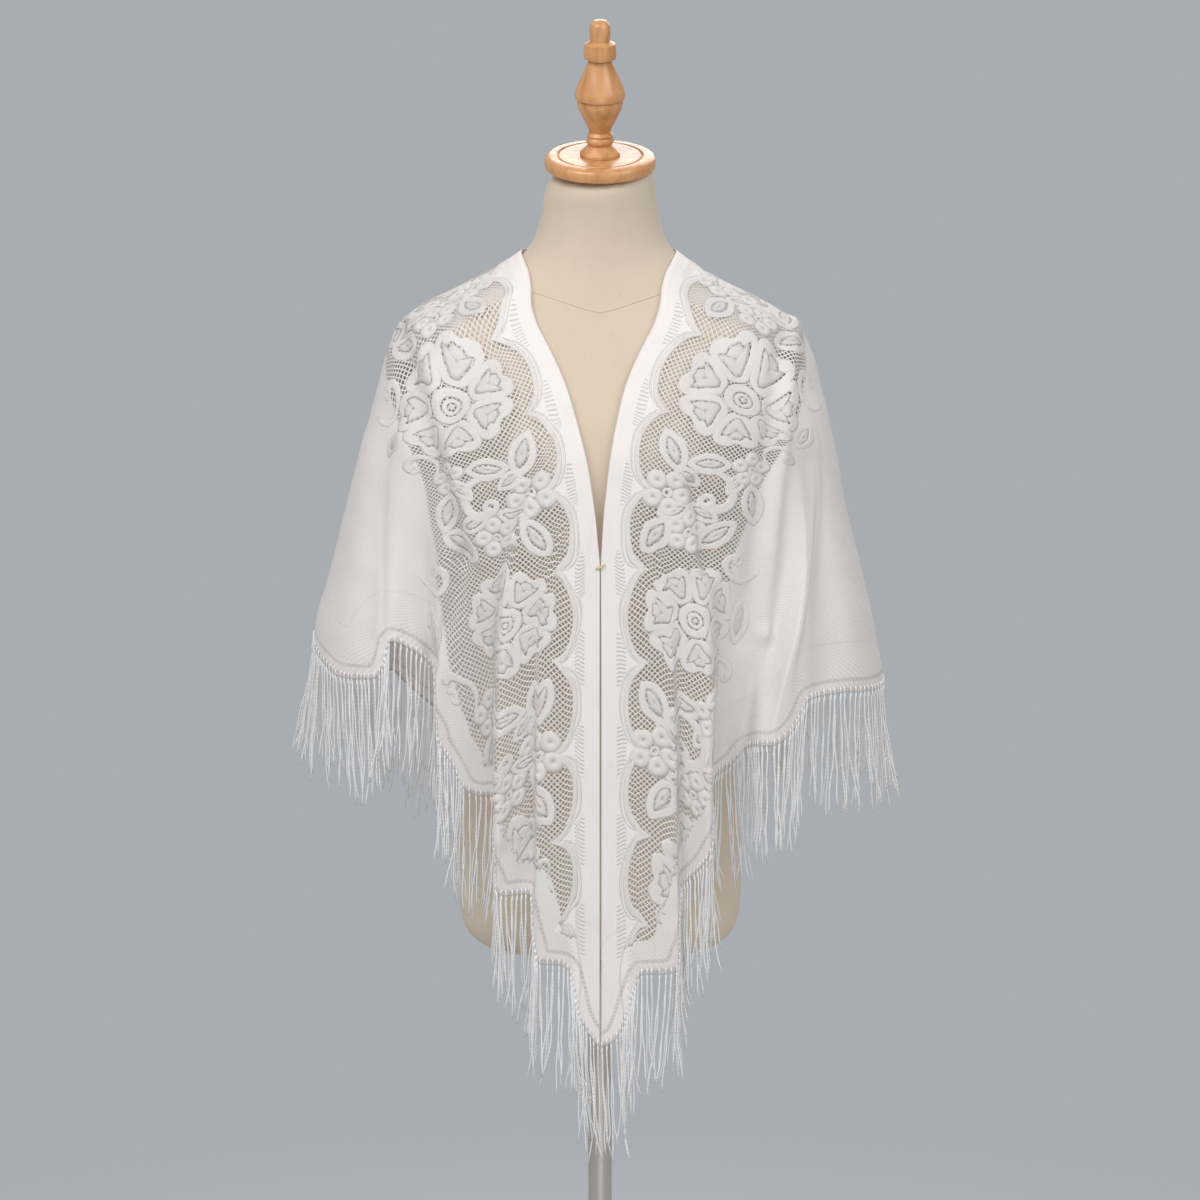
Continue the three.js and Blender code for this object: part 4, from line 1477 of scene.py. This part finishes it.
class LaceWork:
    """Motifs drawn in the flat pattern and laid on the hanging cloth."""

    def __init__(self, cloth: Cloth) -> None:
        """Starts with no motifs.

        Args:
            cloth: the cloth that they lie on.
        """
        self.cloth = cloth
        self.points: dict[LaceKind, list[Vector]] = {kind: [] for kind in LaceKind}
        self.flat: dict[LaceKind, list[tuple[float, float]]] = {kind: [] for kind in LaceKind}
        self.faces: dict[LaceKind, list[tuple[int, ...]]] = {kind: [] for kind in LaceKind}

    def lay(self, rows: list[np.ndarray], lifts: list[float], kind: LaceKind, closed: bool = True) -> None:
        """Lays a band of rows of flat points on the cloth.

        Args:
            rows: the rows, from outside to inside.
            lifts: how far each row stands out of the cloth.
            kind: how it is knitted.
            closed: whether each row closes on itself.
        """
        points, flat, faces = self.points[kind], self.flat[kind], self.faces[kind]
        numbers = []
        for row, lift in zip(rows, lifts):
            line = []
            for along, inward in row:
                place = self.cloth.find(along, inward, lift)
                line.append(None if place is None else len(points))
                if place is not None:
                    points.append(place)
                    flat.append((along, inward))
            numbers.append(line)
        count = len(rows[0])
        for upper, lower in zip(numbers, numbers[1:]):
            for i in range(count if closed else count - 1):
                k = (i + 1) % count
                face = (upper[i], upper[k], lower[k], lower[i])
                if None not in face and self.compact(points, face):
                    faces.append(face)

    @staticmethod
    def compact(points: list[Vector], face: tuple[int, ...]) -> bool:
        """Whether a face didn't get torn apart between two folds."""
        a, b, c, d = (points[i] for i in face)
        return max((a - c).length, (b - d).length) < LONGEST_FACE

    def fill(self, outline: np.ndarray, kind: LaceKind, rings: int = 3, dome: float = 0.0003) -> None:
        """Fills an outline with rings towards its middle.

        Args:
            outline: the outline.
            kind: how it is knitted.
            rings: how many rings of faces.
            dome: how far the middle rises.
        """
        middle = outline.mean(0)
        shares = np.linspace(1, 0.04, rings + 1)
        rows = [middle + (outline - middle) * share for share in shares]
        self.lay(rows, [LOW_LIFT + dome * math.sqrt(1 - share**2) for share in shares], kind)

    def rim(self, outer: np.ndarray, inner: np.ndarray) -> None:
        """Lays a puffed dense band between two outlines.

        Args:
            outer: the outer outline.
            inner: the inner one, with as many points.
        """
        shares = (0, 0.2, 0.8, 1)
        rows = [outer + (inner - outer) * share for share in shares]
        self.lay(rows, [LOW_LIFT, HIGH_LIFT, HIGH_LIFT, LOW_LIFT], LaceKind.DENSE)

    def ribbon(self, route: np.ndarray, widths: np.ndarray) -> None:
        """Lays a puffed dense ribbon along a route.

        Args:
            route: flat points along it.
            widths: its width at each.
        """
        run = unit(np.gradient(route, axis=0))
        side = np.stack([-run[:, 1], run[:, 0]], -1)
        shares = (0.5, 0.25, -0.25, -0.5)
        rows = [route + side * (widths * share)[:, None] for share in shares]
        self.lay(rows, [LOW_LIFT, HIGH_LIFT, HIGH_LIFT, LOW_LIFT], LaceKind.DENSE, closed=False)

    def draw(self, motif: Motif, out: float, hand: int, narrow: bool) -> None:
        """Draws one motif.

        Args:
            motif: the motif.
            out: how far its repeat's flower lies from the middle of the back.
            hand: 1 on the right of it, -1 on the left.
            narrow: whether the repeat is one of the narrower ones.
        """
        flower = motif.kind is MotifKind.FLOWER
        share = NARROW if narrow and (flower or hand > 0) else 1
        centre = np.array([hand * (out + motif.along), BORDER + (motif.inward - BORDER) * share])
        size = motif.size * (share if flower else 1)
        turn = math.radians(motif.degrees)

        def placed(local: np.ndarray, more: float = 0.0) -> np.ndarray:
            """Turns, mirrors and moves local points to the motif's place.

            Args:
                local: the points.
                more: how far they are turned first.

            Returns:
                The points in the flat pattern.
            """
            c, s = math.cos(turn + more), math.sin(turn + more)
            u, v = local[:, 0] * c - local[:, 1] * s, local[:, 0] * s + local[:, 1] * c
            return centre + np.stack([u * hand, v], -1)

        drawers = {
            MotifKind.FLOWER: self.flower,
            MotifKind.LEAF: self.leaf,
            MotifKind.SCROLL: self.scroll,
            MotifKind.BUD: self.bud,
        }
        drawers[motif.kind](placed, size)

    def disc(self, placed: Callable, outer: float, inner: float, at: float = 0.0, more: float = 0.0) -> None:
        """Lays a ring, or a disc where inner is 0, at a distance from the motif's middle.

        Args:
            placed: what puts local points in the flat pattern.
            outer: its outer radius.
            inner: the radius of its hole.
            at: how far it lies from the motif's middle.
            more: how far it is turned round that middle.
        """
        circle = evenly([(math.cos(t), math.sin(t)) for t in np.linspace(0, 2 * math.pi, 24, False)], 18)
        shift = np.array([at, 0])
        if inner:
            self.rim(placed(circle * outer + shift, more), placed(circle * inner + shift, more))
        else:
            self.fill(placed(circle * outer + shift, more), LaceKind.DENSE, 2)

    def flower(self, placed: Callable, size: float) -> None:
        """A broad flower with notched petals, sheer within, round a ringed middle.

        Args:
            placed: what puts local points in the flat pattern.
            size: the motif's size.
        """
        start = size * 0.33
        length, width = size - start, size * 0.79
        rim = evenly(loop_from(PETAL_RIM, length, width), 44) + (start, 0)
        opening = evenly(loop_from(PETAL_MIDDLE, length * 1.03, width * 1.04), 44) + (start, 0)
        middle = evenly(loop_from(PETAL_MIDDLE, length * 0.98, width * 0.93), 32) + (start + length * 0.02, 0)
        for k in range(PETALS):
            more = 2 * math.pi * k / PETALS
            self.rim(placed(rim, more), placed(opening, more))
            self.fill(placed(middle, more), LaceKind.SHEER)
        self.disc(placed, size * 0.32, size * 0.17)
        self.disc(placed, size * 0.145, size * 0.08)
        self.disc(placed, size * 0.045, 0)

    def leaf(self, placed: Callable, size: float) -> None:
        """A pointed leaf with an open midrib.

        Args:
            placed: what puts local points in the flat pattern.
            size: the motif's size.
        """
        t = np.linspace(0, 2 * math.pi, 32, False)
        outline = np.stack([np.cos(t) * size / 2, np.sin(t) * np.abs(np.sin(t)) ** 0.6 * size * 0.27], -1)
        outer = evenly([tuple(p) for p in outline], 28)
        self.rim(placed(outer), placed(outer * (0.64, 0.46)))
        self.fill(placed(outer * (0.58, 0.34)), LaceKind.SHEER, 2)

    def scroll(self, placed: Callable, size: float) -> None:
        """A curled comma with a round head.

        Args:
            placed: what puts local points in the flat pattern.
            size: the motif's size.
        """
        t = np.linspace(0, 1, 26)
        angle = t * math.pi * 1.5
        radius = size * (0.14 + 0.42 * t)
        route = np.stack([np.cos(angle) * radius, np.sin(angle) * radius], -1)
        widths = size * (0.05 + 0.19 * (1 - t) ** 0.7)
        self.ribbon(placed(route), widths)
        self.disc(placed, size * 0.15, size * 0.05, size * 0.1)

    def bud(self, placed: Callable, size: float) -> None:
        """A small flower of five round petals.

        Args:
            placed: what puts local points in the flat pattern.
            size: the motif's size.
        """
        for k in range(5):
            self.disc(placed, size * 0.25, 0, size * 0.36, 2 * math.pi * k / 5)
        self.disc(placed, size * 0.12, size * 0.05)

    def scallops(self) -> None:
        """Lays the double scallop line that bounds the net along the border."""
        reach = self.cloth.half - SCALLOP_END
        along = np.linspace(-reach, reach, round(2 * reach / SCALLOP_STEP))
        scallop = np.mod((np.abs(along) / REPEAT - self.cloth.phase) * SCALLOPS_PER_REPEAT + 0.5, 1)
        arch = 1 - np.sqrt(np.maximum(1 - (scallop * 2 - 1) ** 2, 0))
        route = np.stack([along, BORDER + CUSP_DEPTH * arch + OUTLINE / 2], -1)
        self.ribbon(route, np.full(len(route), OUTLINE))
        self.ribbon(route - (0, OUTLINE * 0.95), np.full(len(route), THIN_LINE))

    def make(self, yarn: LaceYarn) -> list[bpy.types.Object]:
        """Makes the pieces of the raised lace.

        Args:
            yarn: its yarn.

        Returns:
            The dense and the sheer piece.
        """
        pieces = []
        for kind, name in ((LaceKind.DENSE, "lace_motifs"), (LaceKind.SHEER, "lace_petal_middles")):
            piece = new_mesh(name, np.array(self.points[kind]), self.faces[kind], {"flat": self.flat[kind]})
            edit(piece, lambda: bpy.ops.mesh.delete_loose(), lambda: bpy.ops.mesh.normals_make_consistent())
            thicken(piece, MOTIF_SHELL)
            finish_piece(piece, yarn.motif(kind), "lace")
            pieces.append(piece)
        return pieces


def tube(route: np.ndarray, radii: np.ndarray, sides: int) -> tuple[np.ndarray, list, np.ndarray]:
    """A closed round tube along a route.

    Args:
        route: its points.
        radii: its radius at each.
        sides: how many sides it has.

    Returns:
        The tube's points, faces and flat coordinates.
    """
    run = unit(np.gradient(route, axis=0))
    helper = np.array([0.0, 1.0, 0.0]) if abs(run[0][1]) < 0.9 else np.array([1.0, 0.0, 0.0])
    across = unit(np.cross(run, helper))
    deep = np.cross(run, across)
    turns = np.arange(sides) * 2 * math.pi / sides
    ring = across[:, None] * np.cos(turns)[:, None] + deep[:, None] * np.sin(turns)[:, None]
    points = (route[:, None] + ring * radii[:, None, None]).reshape(-1, 3)
    faces = []
    for i in range(len(route) - 1):
        for k in range(sides):
            a, b = i * sides + k, i * sides + (k + 1) % sides
            faces.append((a, b, b + sides, a + sides))
    last = (len(route) - 1) * sides
    faces.append(tuple(range(sides))[::-1])
    faces.append(tuple(range(last, last + sides)))
    flat = np.stack(
        [np.tile(turns / (2 * math.pi), len(route)), np.repeat(lengths_along(route), sides)],
        -1,
    )
    return points, faces, flat


def joined_tubes(name: str, tubes: list[tuple]) -> bpy.types.Object:
    """One piece from many tubes.

    Args:
        name: the piece's name.
        tubes: each tube's route, radii and number of sides.

    Returns:
        The piece.
    """
    points, faces, flat, total = [], [], [], 0
    for route, radii, sides in tubes:
        some, around, pairs = tube(route, radii, sides)
        points.append(some)
        faces += [tuple(i + total for i in face) for face in around]
        flat.append(pairs)
        total += len(some)
    piece = new_mesh(name, np.concatenate(points), faces, {"flat": np.concatenate(flat)})
    edit(piece, lambda: bpy.ops.mesh.normals_make_consistent(inside=False))
    return piece


@dataclass
class Fringe:
    """Yarns knotted through the hem, hanging in uneven pairs of strands.

    Each wave along the hem is its height and its length, and the gauss fields are how uneven the strands are.
    """

    spacing: float = 0.006
    spacing_range: tuple[float, float] = (0.7, 1.3)
    length: float = 0.113
    radius: float = 0.0007
    knot: float = 0.00095
    loop_inside: float = 0.004
    splay: float = 0.012
    splay_range: tuple[float, float] = (0.268, 0.289)
    broad_clump: tuple[float, float] = (0.0045, 0.034)
    fine_clump: tuple[float, float] = (0.0028, 0.0137)
    sway: tuple[float, float] = (0.005, 0.19)
    length_wave: tuple[float, float] = (0.005, 0.083)
    gauss_yarn: float = 0.004
    gauss_strand: float = 0.009
    gauss_drift: float = 0.003
    gauss_curl: float = 0.0035
    gauss_depth: float = 0.003
    ripple_range: tuple[float, float] = (0.0004, 0.0013)
    thickness_range: tuple[float, float] = (0.85, 1.15)
    seed: int = 7

    def make(self, cloth: Cloth, yarn: LaceYarn) -> bpy.types.Object:
        """Makes the fringe.

        Args:
            cloth: the cloth whose hem it hangs from.
            yarn: its yarn.

        Returns:
            The piece.
        """
        chance = random.Random(self.seed)
        hem = cloth.grid[:, -1]
        inside = hem + unit(cloth.grid[:, -3] - hem) * self.loop_inside
        reach = lengths_along(hem)
        tubes = []
        at = self.spacing / 2
        while at < reach[-1]:
            root, above, facing = (
                np.array([np.interp(at, reach, values[:, k]) for k in range(3)])
                for values in (hem, inside, cloth.normals[:, -1])
            )
            tubes += self.tassel(root, above, facing, at, chance)
            at += self.spacing * chance.uniform(*self.spacing_range)
        piece = joined_tubes("fringe_strands", tubes)
        nodes = ("fringe_left_front", "fringe_back", "fringe_right_front")
        finish_piece(piece, yarn.yarn(), "lace", *nodes)
        return piece

    @staticmethod
    def wave(at: float, shape: tuple[float, float], shift: float = 0) -> float:
        """A wave's height at a place on the hem."""
        return shape[0] * math.sin(at * 2 * math.pi / shape[1] + shift)

    def tassel(
        self, root: np.ndarray, above: np.ndarray, facing: np.ndarray, at: float, chance: random.Random
    ) -> list[tuple]:
        """The loop, the knot and the two strands of one yarn.

        Args:
            root: its place on the hem.
            above: the place inside the hem that its loop goes through.
            facing: the direction out of the cloth.
            at: metres along the hem.
            chance: the seeded chance.

        Returns:
            The route, radii and number of sides of each tube.
        """
        down = np.array([0, 0, -1.0])
        splay = self.splay * float(smoothstep(np.array(abs(root[0])), *self.splay_range)) * np.sign(root[0])
        clump = self.wave(at, self.broad_clump) + self.wave(at, self.fine_clump, 1)
        sway = self.wave(at, self.sway)
        base = self.length + self.wave(at, self.length_wave) + chance.gauss(0, self.gauss_yarn)
        below = root + facing * 0.0012 + down * 0.002
        loop = np.stack([above - facing * 0.0004, above + facing * 0.001, below])
        tie = np.stack([loop[-1] + down * length for length in (-0.001, 0.001, 0.004, 0.006)])
        tubes = [
            (loop, np.full(3, self.radius * 1.25), 5),
            (tie, np.array([0.5, 1.0, 1.0, 0.55]) * self.knot, 6),
        ]
        for _ in range(2):
            length = base + chance.gauss(0, self.gauss_strand)
            drift = clump + sway + splay + chance.gauss(0, self.gauss_drift)
            curl = chance.gauss(0, self.gauss_curl)
            ripple = chance.uniform(*self.ripple_range)
            phase = chance.uniform(0, 2 * math.pi)
            t = np.linspace(0, 1, 13)
            x = root[0] + drift * t**1.3 + curl * t**4 + ripple * np.sin(t * 13 + phase) * np.sqrt(t)
            lean = facing[1] * 0.0012
            y = root[1] + lean + ripple * np.cos(t * 11 + phase) * t + chance.gauss(0, self.gauss_depth) * t
            z = root[2] - 0.004 - (length - 0.004) * t + 0.1 * abs(drift) * t
            thick = np.full(len(t), self.radius * chance.uniform(*self.thickness_range))
            thick[-1] *= 0.6
            tubes.append((np.stack([x, y, z], -1), thick, 4))
        return tubes


@dataclass
class HemEdge:
    """The rolled edge that binds the hem."""

    radius: float = 0.0011
    step: float = 0.003

    def make(self, cloth: Cloth, yarn: LaceYarn) -> bpy.types.Object:
        """Makes the rolled edge.

        Args:
            cloth: the cloth that it binds.
            yarn: its yarn.

        Returns:
            The piece.
        """
        hem = cloth.grid[:, -1]
        reach = lengths_along(hem)
        at = np.arange(0, reach[-1], self.step)
        route = np.stack([np.interp(at, reach, hem[:, k]) for k in range(3)], -1)
        piece = joined_tubes("hem_rolled_edge", [(route, np.full(len(route), self.radius), 6)])
        finish_piece(piece, yarn.motif(LaceKind.DENSE), "lace")
        return piece


@dataclass
class Tack:
    """The thread that holds the front edges together."""

    half_span: float = 0.0045
    slant: float = 0.0022
    radius: float = 0.0004

    def make(self, cloth: Cloth) -> bpy.types.Object:
        """Makes three turns of thread with a knot.

        Args:
            cloth: the cloth whose front edges it joins.

        Returns:
            The piece.
        """
        left, right = cloth.grid[0, 0], cloth.grid[-1, 0]
        low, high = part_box("front_tack")
        middle = np.array([(left[0] + right[0]) / 2, (low[1] + high[1]) / 2, (low[2] + high[2]) / 2])
        tubes = []
        for k in (-1, 0, 1):
            t = np.linspace(-1, 1, 9)
            x = middle[0] + self.half_span * t
            y = middle[1] - 0.0007 * (1 - t * t) + 0.0012 * t**4
            z = middle[2] + self.slant * t + k * 0.0007
            tubes.append((np.stack([x, y, z], -1), np.full(9, self.radius), 6))
        knot = middle + (0.001, -0.001, 0) + np.linspace(-1, 1, 5)[:, None] * (0, 0, 0.001)
        tubes.append((knot, np.array([0.3, 0.9, 1.0, 0.9, 0.3]) * 0.0009, 8))
        piece = joined_tubes("thread_tack", tubes)
        finish_piece(piece, ThreadFinish().material(), "thread", "front_tack")
        return piece


@dataclass
class DressForm:
    """The linen form with its seam round the neck."""

    frame: dict
    seam_front: float = 1.247
    seam_back: float = 1.302
    seam_radius: float = 0.0005

    def make(self) -> None:
        """Makes the smooth form and its neck seam."""
        node = self.frame["nodes"]["form_body"]
        mesh = node.data.copy()
        piece = bpy.data.objects.new("linen_form", mesh)
        bpy.context.collection.objects.link(piece)
        edit(
            piece,
            lambda: bpy.ops.mesh.remove_doubles(threshold=1e-5),
            lambda: bpy.ops.mesh.normals_make_consistent(inside=False),
            lambda: bpy.ops.mesh.tris_convert_to_quads(),
        )
        smooth = piece.modifiers.new("smooth", "SUBSURF")
        smooth.levels = smooth.render_levels = 2
        apply_modifiers(piece)
        piece.data.polygons.foreach_set("use_smooth", [True] * len(piece.data.polygons))
        linen = LinenFinish().material()
        finish_piece(piece, linen, "linen", "form_body")
        self.seam(piece, linen)

    def seam(self, form: bpy.types.Object, linen: bpy.types.Material) -> None:
        """Sews the seam that joins the neck to the body.

        Args:
            form: the smooth form.
            linen: its material.
        """
        surface = BVHTree.FromPolygons(
            [v.co for v in form.data.vertices], [tuple(p.vertices) for p in form.data.polygons]
        )
        route = []
        for angle in np.linspace(0, 2 * math.pi, 121):
            share = (1 - math.cos(angle)) / 2
            height = self.seam_front + (self.seam_back - self.seam_front) * share**0.6
            out = Vector((math.sin(angle), -math.cos(angle), 0))
            hit, facing, _, _ = surface.ray_cast(Vector((0, 0, height)) + out * 0.5, -out)
            route.append(hit + facing * 0.0001)
        piece = joined_tubes("neck_seam", [(np.array(route), np.full(len(route), self.seam_radius), 6)])
        finish_piece(piece, linen, "linen")


@dataclass
class Turning:
    """A piece turned round an upright or tilted axis."""

    name: str
    node: str
    outline: list[OutlinePoint]
    slot: str
    seat: Matrix = field(default_factory=Matrix)

    def make(self, material: bpy.types.Material) -> bpy.types.Object:
        """Spins the outline into a closed piece.

        Args:
            material: its material.

        Returns:
            The piece.
        """
        points = np.array([(p.radius * MM, 0, p.height * MM) for p in self.outline])
        piece = new_mesh(self.name, points, [], {})
        mesh = piece.data
        mesh.edges.add(len(points) - 1)
        mesh.edges.foreach_set("vertices", [n for i in range(len(points) - 1) for n in (i, i + 1)])
        edit(
            piece,
            lambda: bpy.ops.mesh.spin(
                steps=TURNED_STEPS, angle=2 * math.pi, center=(0, 0, 0), axis=(0, 0, 1)
            ),
            lambda: bpy.ops.mesh.select_all(action="SELECT"),
            lambda: bpy.ops.mesh.remove_doubles(threshold=1e-6),
            lambda: bpy.ops.mesh.normals_make_consistent(inside=False),
        )
        mesh.transform(self.seat)
        mesh.polygons.foreach_set("use_smooth", [True] * len(mesh.polygons))
        bpy.ops.object.select_all(action="DESELECT")
        piece.select_set(True)
        bpy.ops.object.shade_smooth_by_angle(angle=math.radians(38))
        finish_piece(piece, material, self.slot, self.node)
        return piece


def make_turnings() -> None:
    """Makes the cap, the finial and the stand."""
    wood = WoodFinish().material()
    steel = SteelFinish().material()
    tilt = Matrix.Rotation(CAP_TILT, 4, "X")
    cap_seat = Matrix.Translation((0, CAP_CENTRE_Y * MM, (NECK_TOP + CLEARANCE) * MM)) @ tilt
    finial_seat = cap_seat @ Matrix.Translation((0, 0, (CAP_THICKNESS + CLEARANCE) * MM))
    Turning("wooden_cap", "neck_cap", CAP, "wood", cap_seat).make(wood)
    Turning("wooden_finial", "finial", FINIAL, "wood", finial_seat).make(wood)
    Turning("steel_flange", "pole_flange", FLANGE, "steel").make(steel)
    Turning("steel_pole", "pole", POLE, "steel").make(steel)
    Turning("steel_hub", "base_hub", HUB, "steel").make(steel)
    Turning("steel_base", "base_plate", PLATE, "steel").make(steel)


class Lamp(NamedTuple):
    """A square light: its name, its place, its side in metres and its watts."""

    name: str
    place: tuple[float, float, float]
    size: float
    watts: float


LAMPS = [
    Lamp("key", (-1.2, -1.7, 2.9), 1.5, 43),
    Lamp("fill", (1.7, -1.9, 2.6), 1.8, 28),
    Lamp("rim", (0.4, 2.1, 2.7), 1.8, 30),
    Lamp("low_fill", (0.3, -2.4, 0.45), 1.4, 6),
]


@dataclass
class Studio:
    """A pale floor, soft light and the camera at the photograph's angle."""

    backdrop: Colour = (0.395, 0.418, 0.442)
    light: float = 0.41
    floor_radius: float = 4.0
    floor_colour: Colour = (0.56, 0.57, 0.59)
    floor_fade: tuple[float, float] = (1.5, 0.45)
    target: tuple[float, float, float] = (0, 0, 0.955)
    distance: float = 4.0
    pitch: float = math.radians(8)
    lens: float = 120
    sensor: float = 36

    def make(self) -> None:
        """Sets everything up."""
        self.make_floor()
        self.make_world()
        for lamp in LAMPS:
            self.add_light(lamp)
        self.make_camera()

    def make_floor(self) -> None:
        """Makes the floor, which fades into the backdrop far from the object."""
        bpy.ops.mesh.primitive_circle_add(vertices=96, radius=self.floor_radius, fill_type="NGON")
        floor = bpy.context.object
        floor.name = "studio_floor"
        surface = Surface("pale_floor", Roughness=0.85)
        surface.shader.inputs["Base Color"].default_value = (*self.floor_colour, 1)
        place = surface.node("ShaderNodeTexCoord").outputs["Object"]
        away = surface.node("ShaderNodeVectorMath", {"Vector": place}, operation="LENGTH").outputs["Value"]
        surface.feed("Alpha", Field(surface.tree, away).ramp(*self.floor_fade))
        floor.data.materials.append(surface.material)

    def make_world(self) -> None:
        """Makes the backdrop's colour and the soft light from all round."""
        world = bpy.data.worlds.new("studio")
        bpy.context.scene.world = world
        world.use_nodes = True
        tree = Tree(world.node_tree)
        seen = tree.node("ShaderNodeBackground", {"Color": (*self.backdrop, 1), "Strength": 1.0})
        light = tree.node("ShaderNodeBackground", {"Color": (1, 1, 1, 1), "Strength": self.light})
        path = tree.node("ShaderNodeLightPath")
        mixed = tree.node("ShaderNodeMixShader", {"Fac": path.outputs["Is Camera Ray"]})
        world.node_tree.links.new(light.outputs[0], mixed.inputs[1])
        world.node_tree.links.new(seen.outputs[0], mixed.inputs[2])
        world.node_tree.links.new(mixed.outputs[0], world.node_tree.nodes["World Output"].inputs["Surface"])

    def add_light(self, lamp: Lamp) -> None:
        """Adds a soft square light that faces the object.

        Args:
            lamp: its name, place, size and power.
        """
        data = bpy.data.lights.new(lamp.name, "AREA")
        data.size = lamp.size
        data.energy = lamp.watts
        light = bpy.data.objects.new(lamp.name, data)
        light.location = lamp.place
        aim = Vector(self.target) - Vector(lamp.place)
        light.rotation_euler = aim.to_track_quat("-Z", "Y").to_euler()
        bpy.context.collection.objects.link(light)

    def make_camera(self) -> None:
        """Places the camera."""
        data = bpy.data.cameras.new("camera")
        data.lens = self.lens
        data.sensor_width = self.sensor
        camera = bpy.data.objects.new("camera", data)
        back = math.cos(self.pitch) * self.distance
        camera.location = (0, -back, self.target[2] + math.sin(self.pitch) * self.distance)
        camera.rotation_euler = (math.pi / 2 - self.pitch, 0, 0)
        bpy.context.collection.objects.link(camera)
        bpy.context.scene.camera = camera
        bpy.context.scene.view_settings.view_transform = "Standard"


def make_lace(cloth: Cloth, yarn: LaceYarn) -> list[bpy.types.Object]:
    """Draws the band of lace along the whole long edge, mirrored at the middle of the back.

    Args:
        cloth: the cloth.
        yarn: its yarn.

    Returns:
        The pieces.
    """
    work = LaceWork(cloth)
    for number in range(math.ceil(cloth.half / REPEAT) + 1):
        out = (number + cloth.phase) * REPEAT
        narrow = round(number + cloth.phase - cloth.upper) % 2 == 1
        for motif in LAYOUT:
            for hand in (1, -1):
                if out + motif.along > motif.size * CLEAR_OF_MIDDLE[motif.kind]:
                    work.draw(motif, out, hand, narrow)
    for motif in MIDDLE_LAYOUT:
        work.draw(motif, 0.0, 1, False)
    for motif in BESIDE_MIDDLE:
        work.draw(motif, 0.0, 1, False)
        work.draw(motif, 0.0, -1, False)
    work.scallops()
    return work.make(yarn)


def main() -> None:
    """Builds the dressed part in the frame and sets the studio round it."""
    logging.basicConfig(level=logging.INFO)
    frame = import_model()
    bpy.ops.object.select_all(action="DESELECT")
    DressForm(frame).make()
    make_turnings()
    yarn = LaceYarn()
    cloth = Cloth()
    cloth.build()
    sheet = cloth.make(yarn)
    lace = make_lace(cloth, yarn)
    edge = HemEdge().make(cloth, yarn)
    fringe = Fringe().make(cloth, yarn)
    Tack().make(cloth)
    Studio().make()


if __name__ == "__main__":
    main()
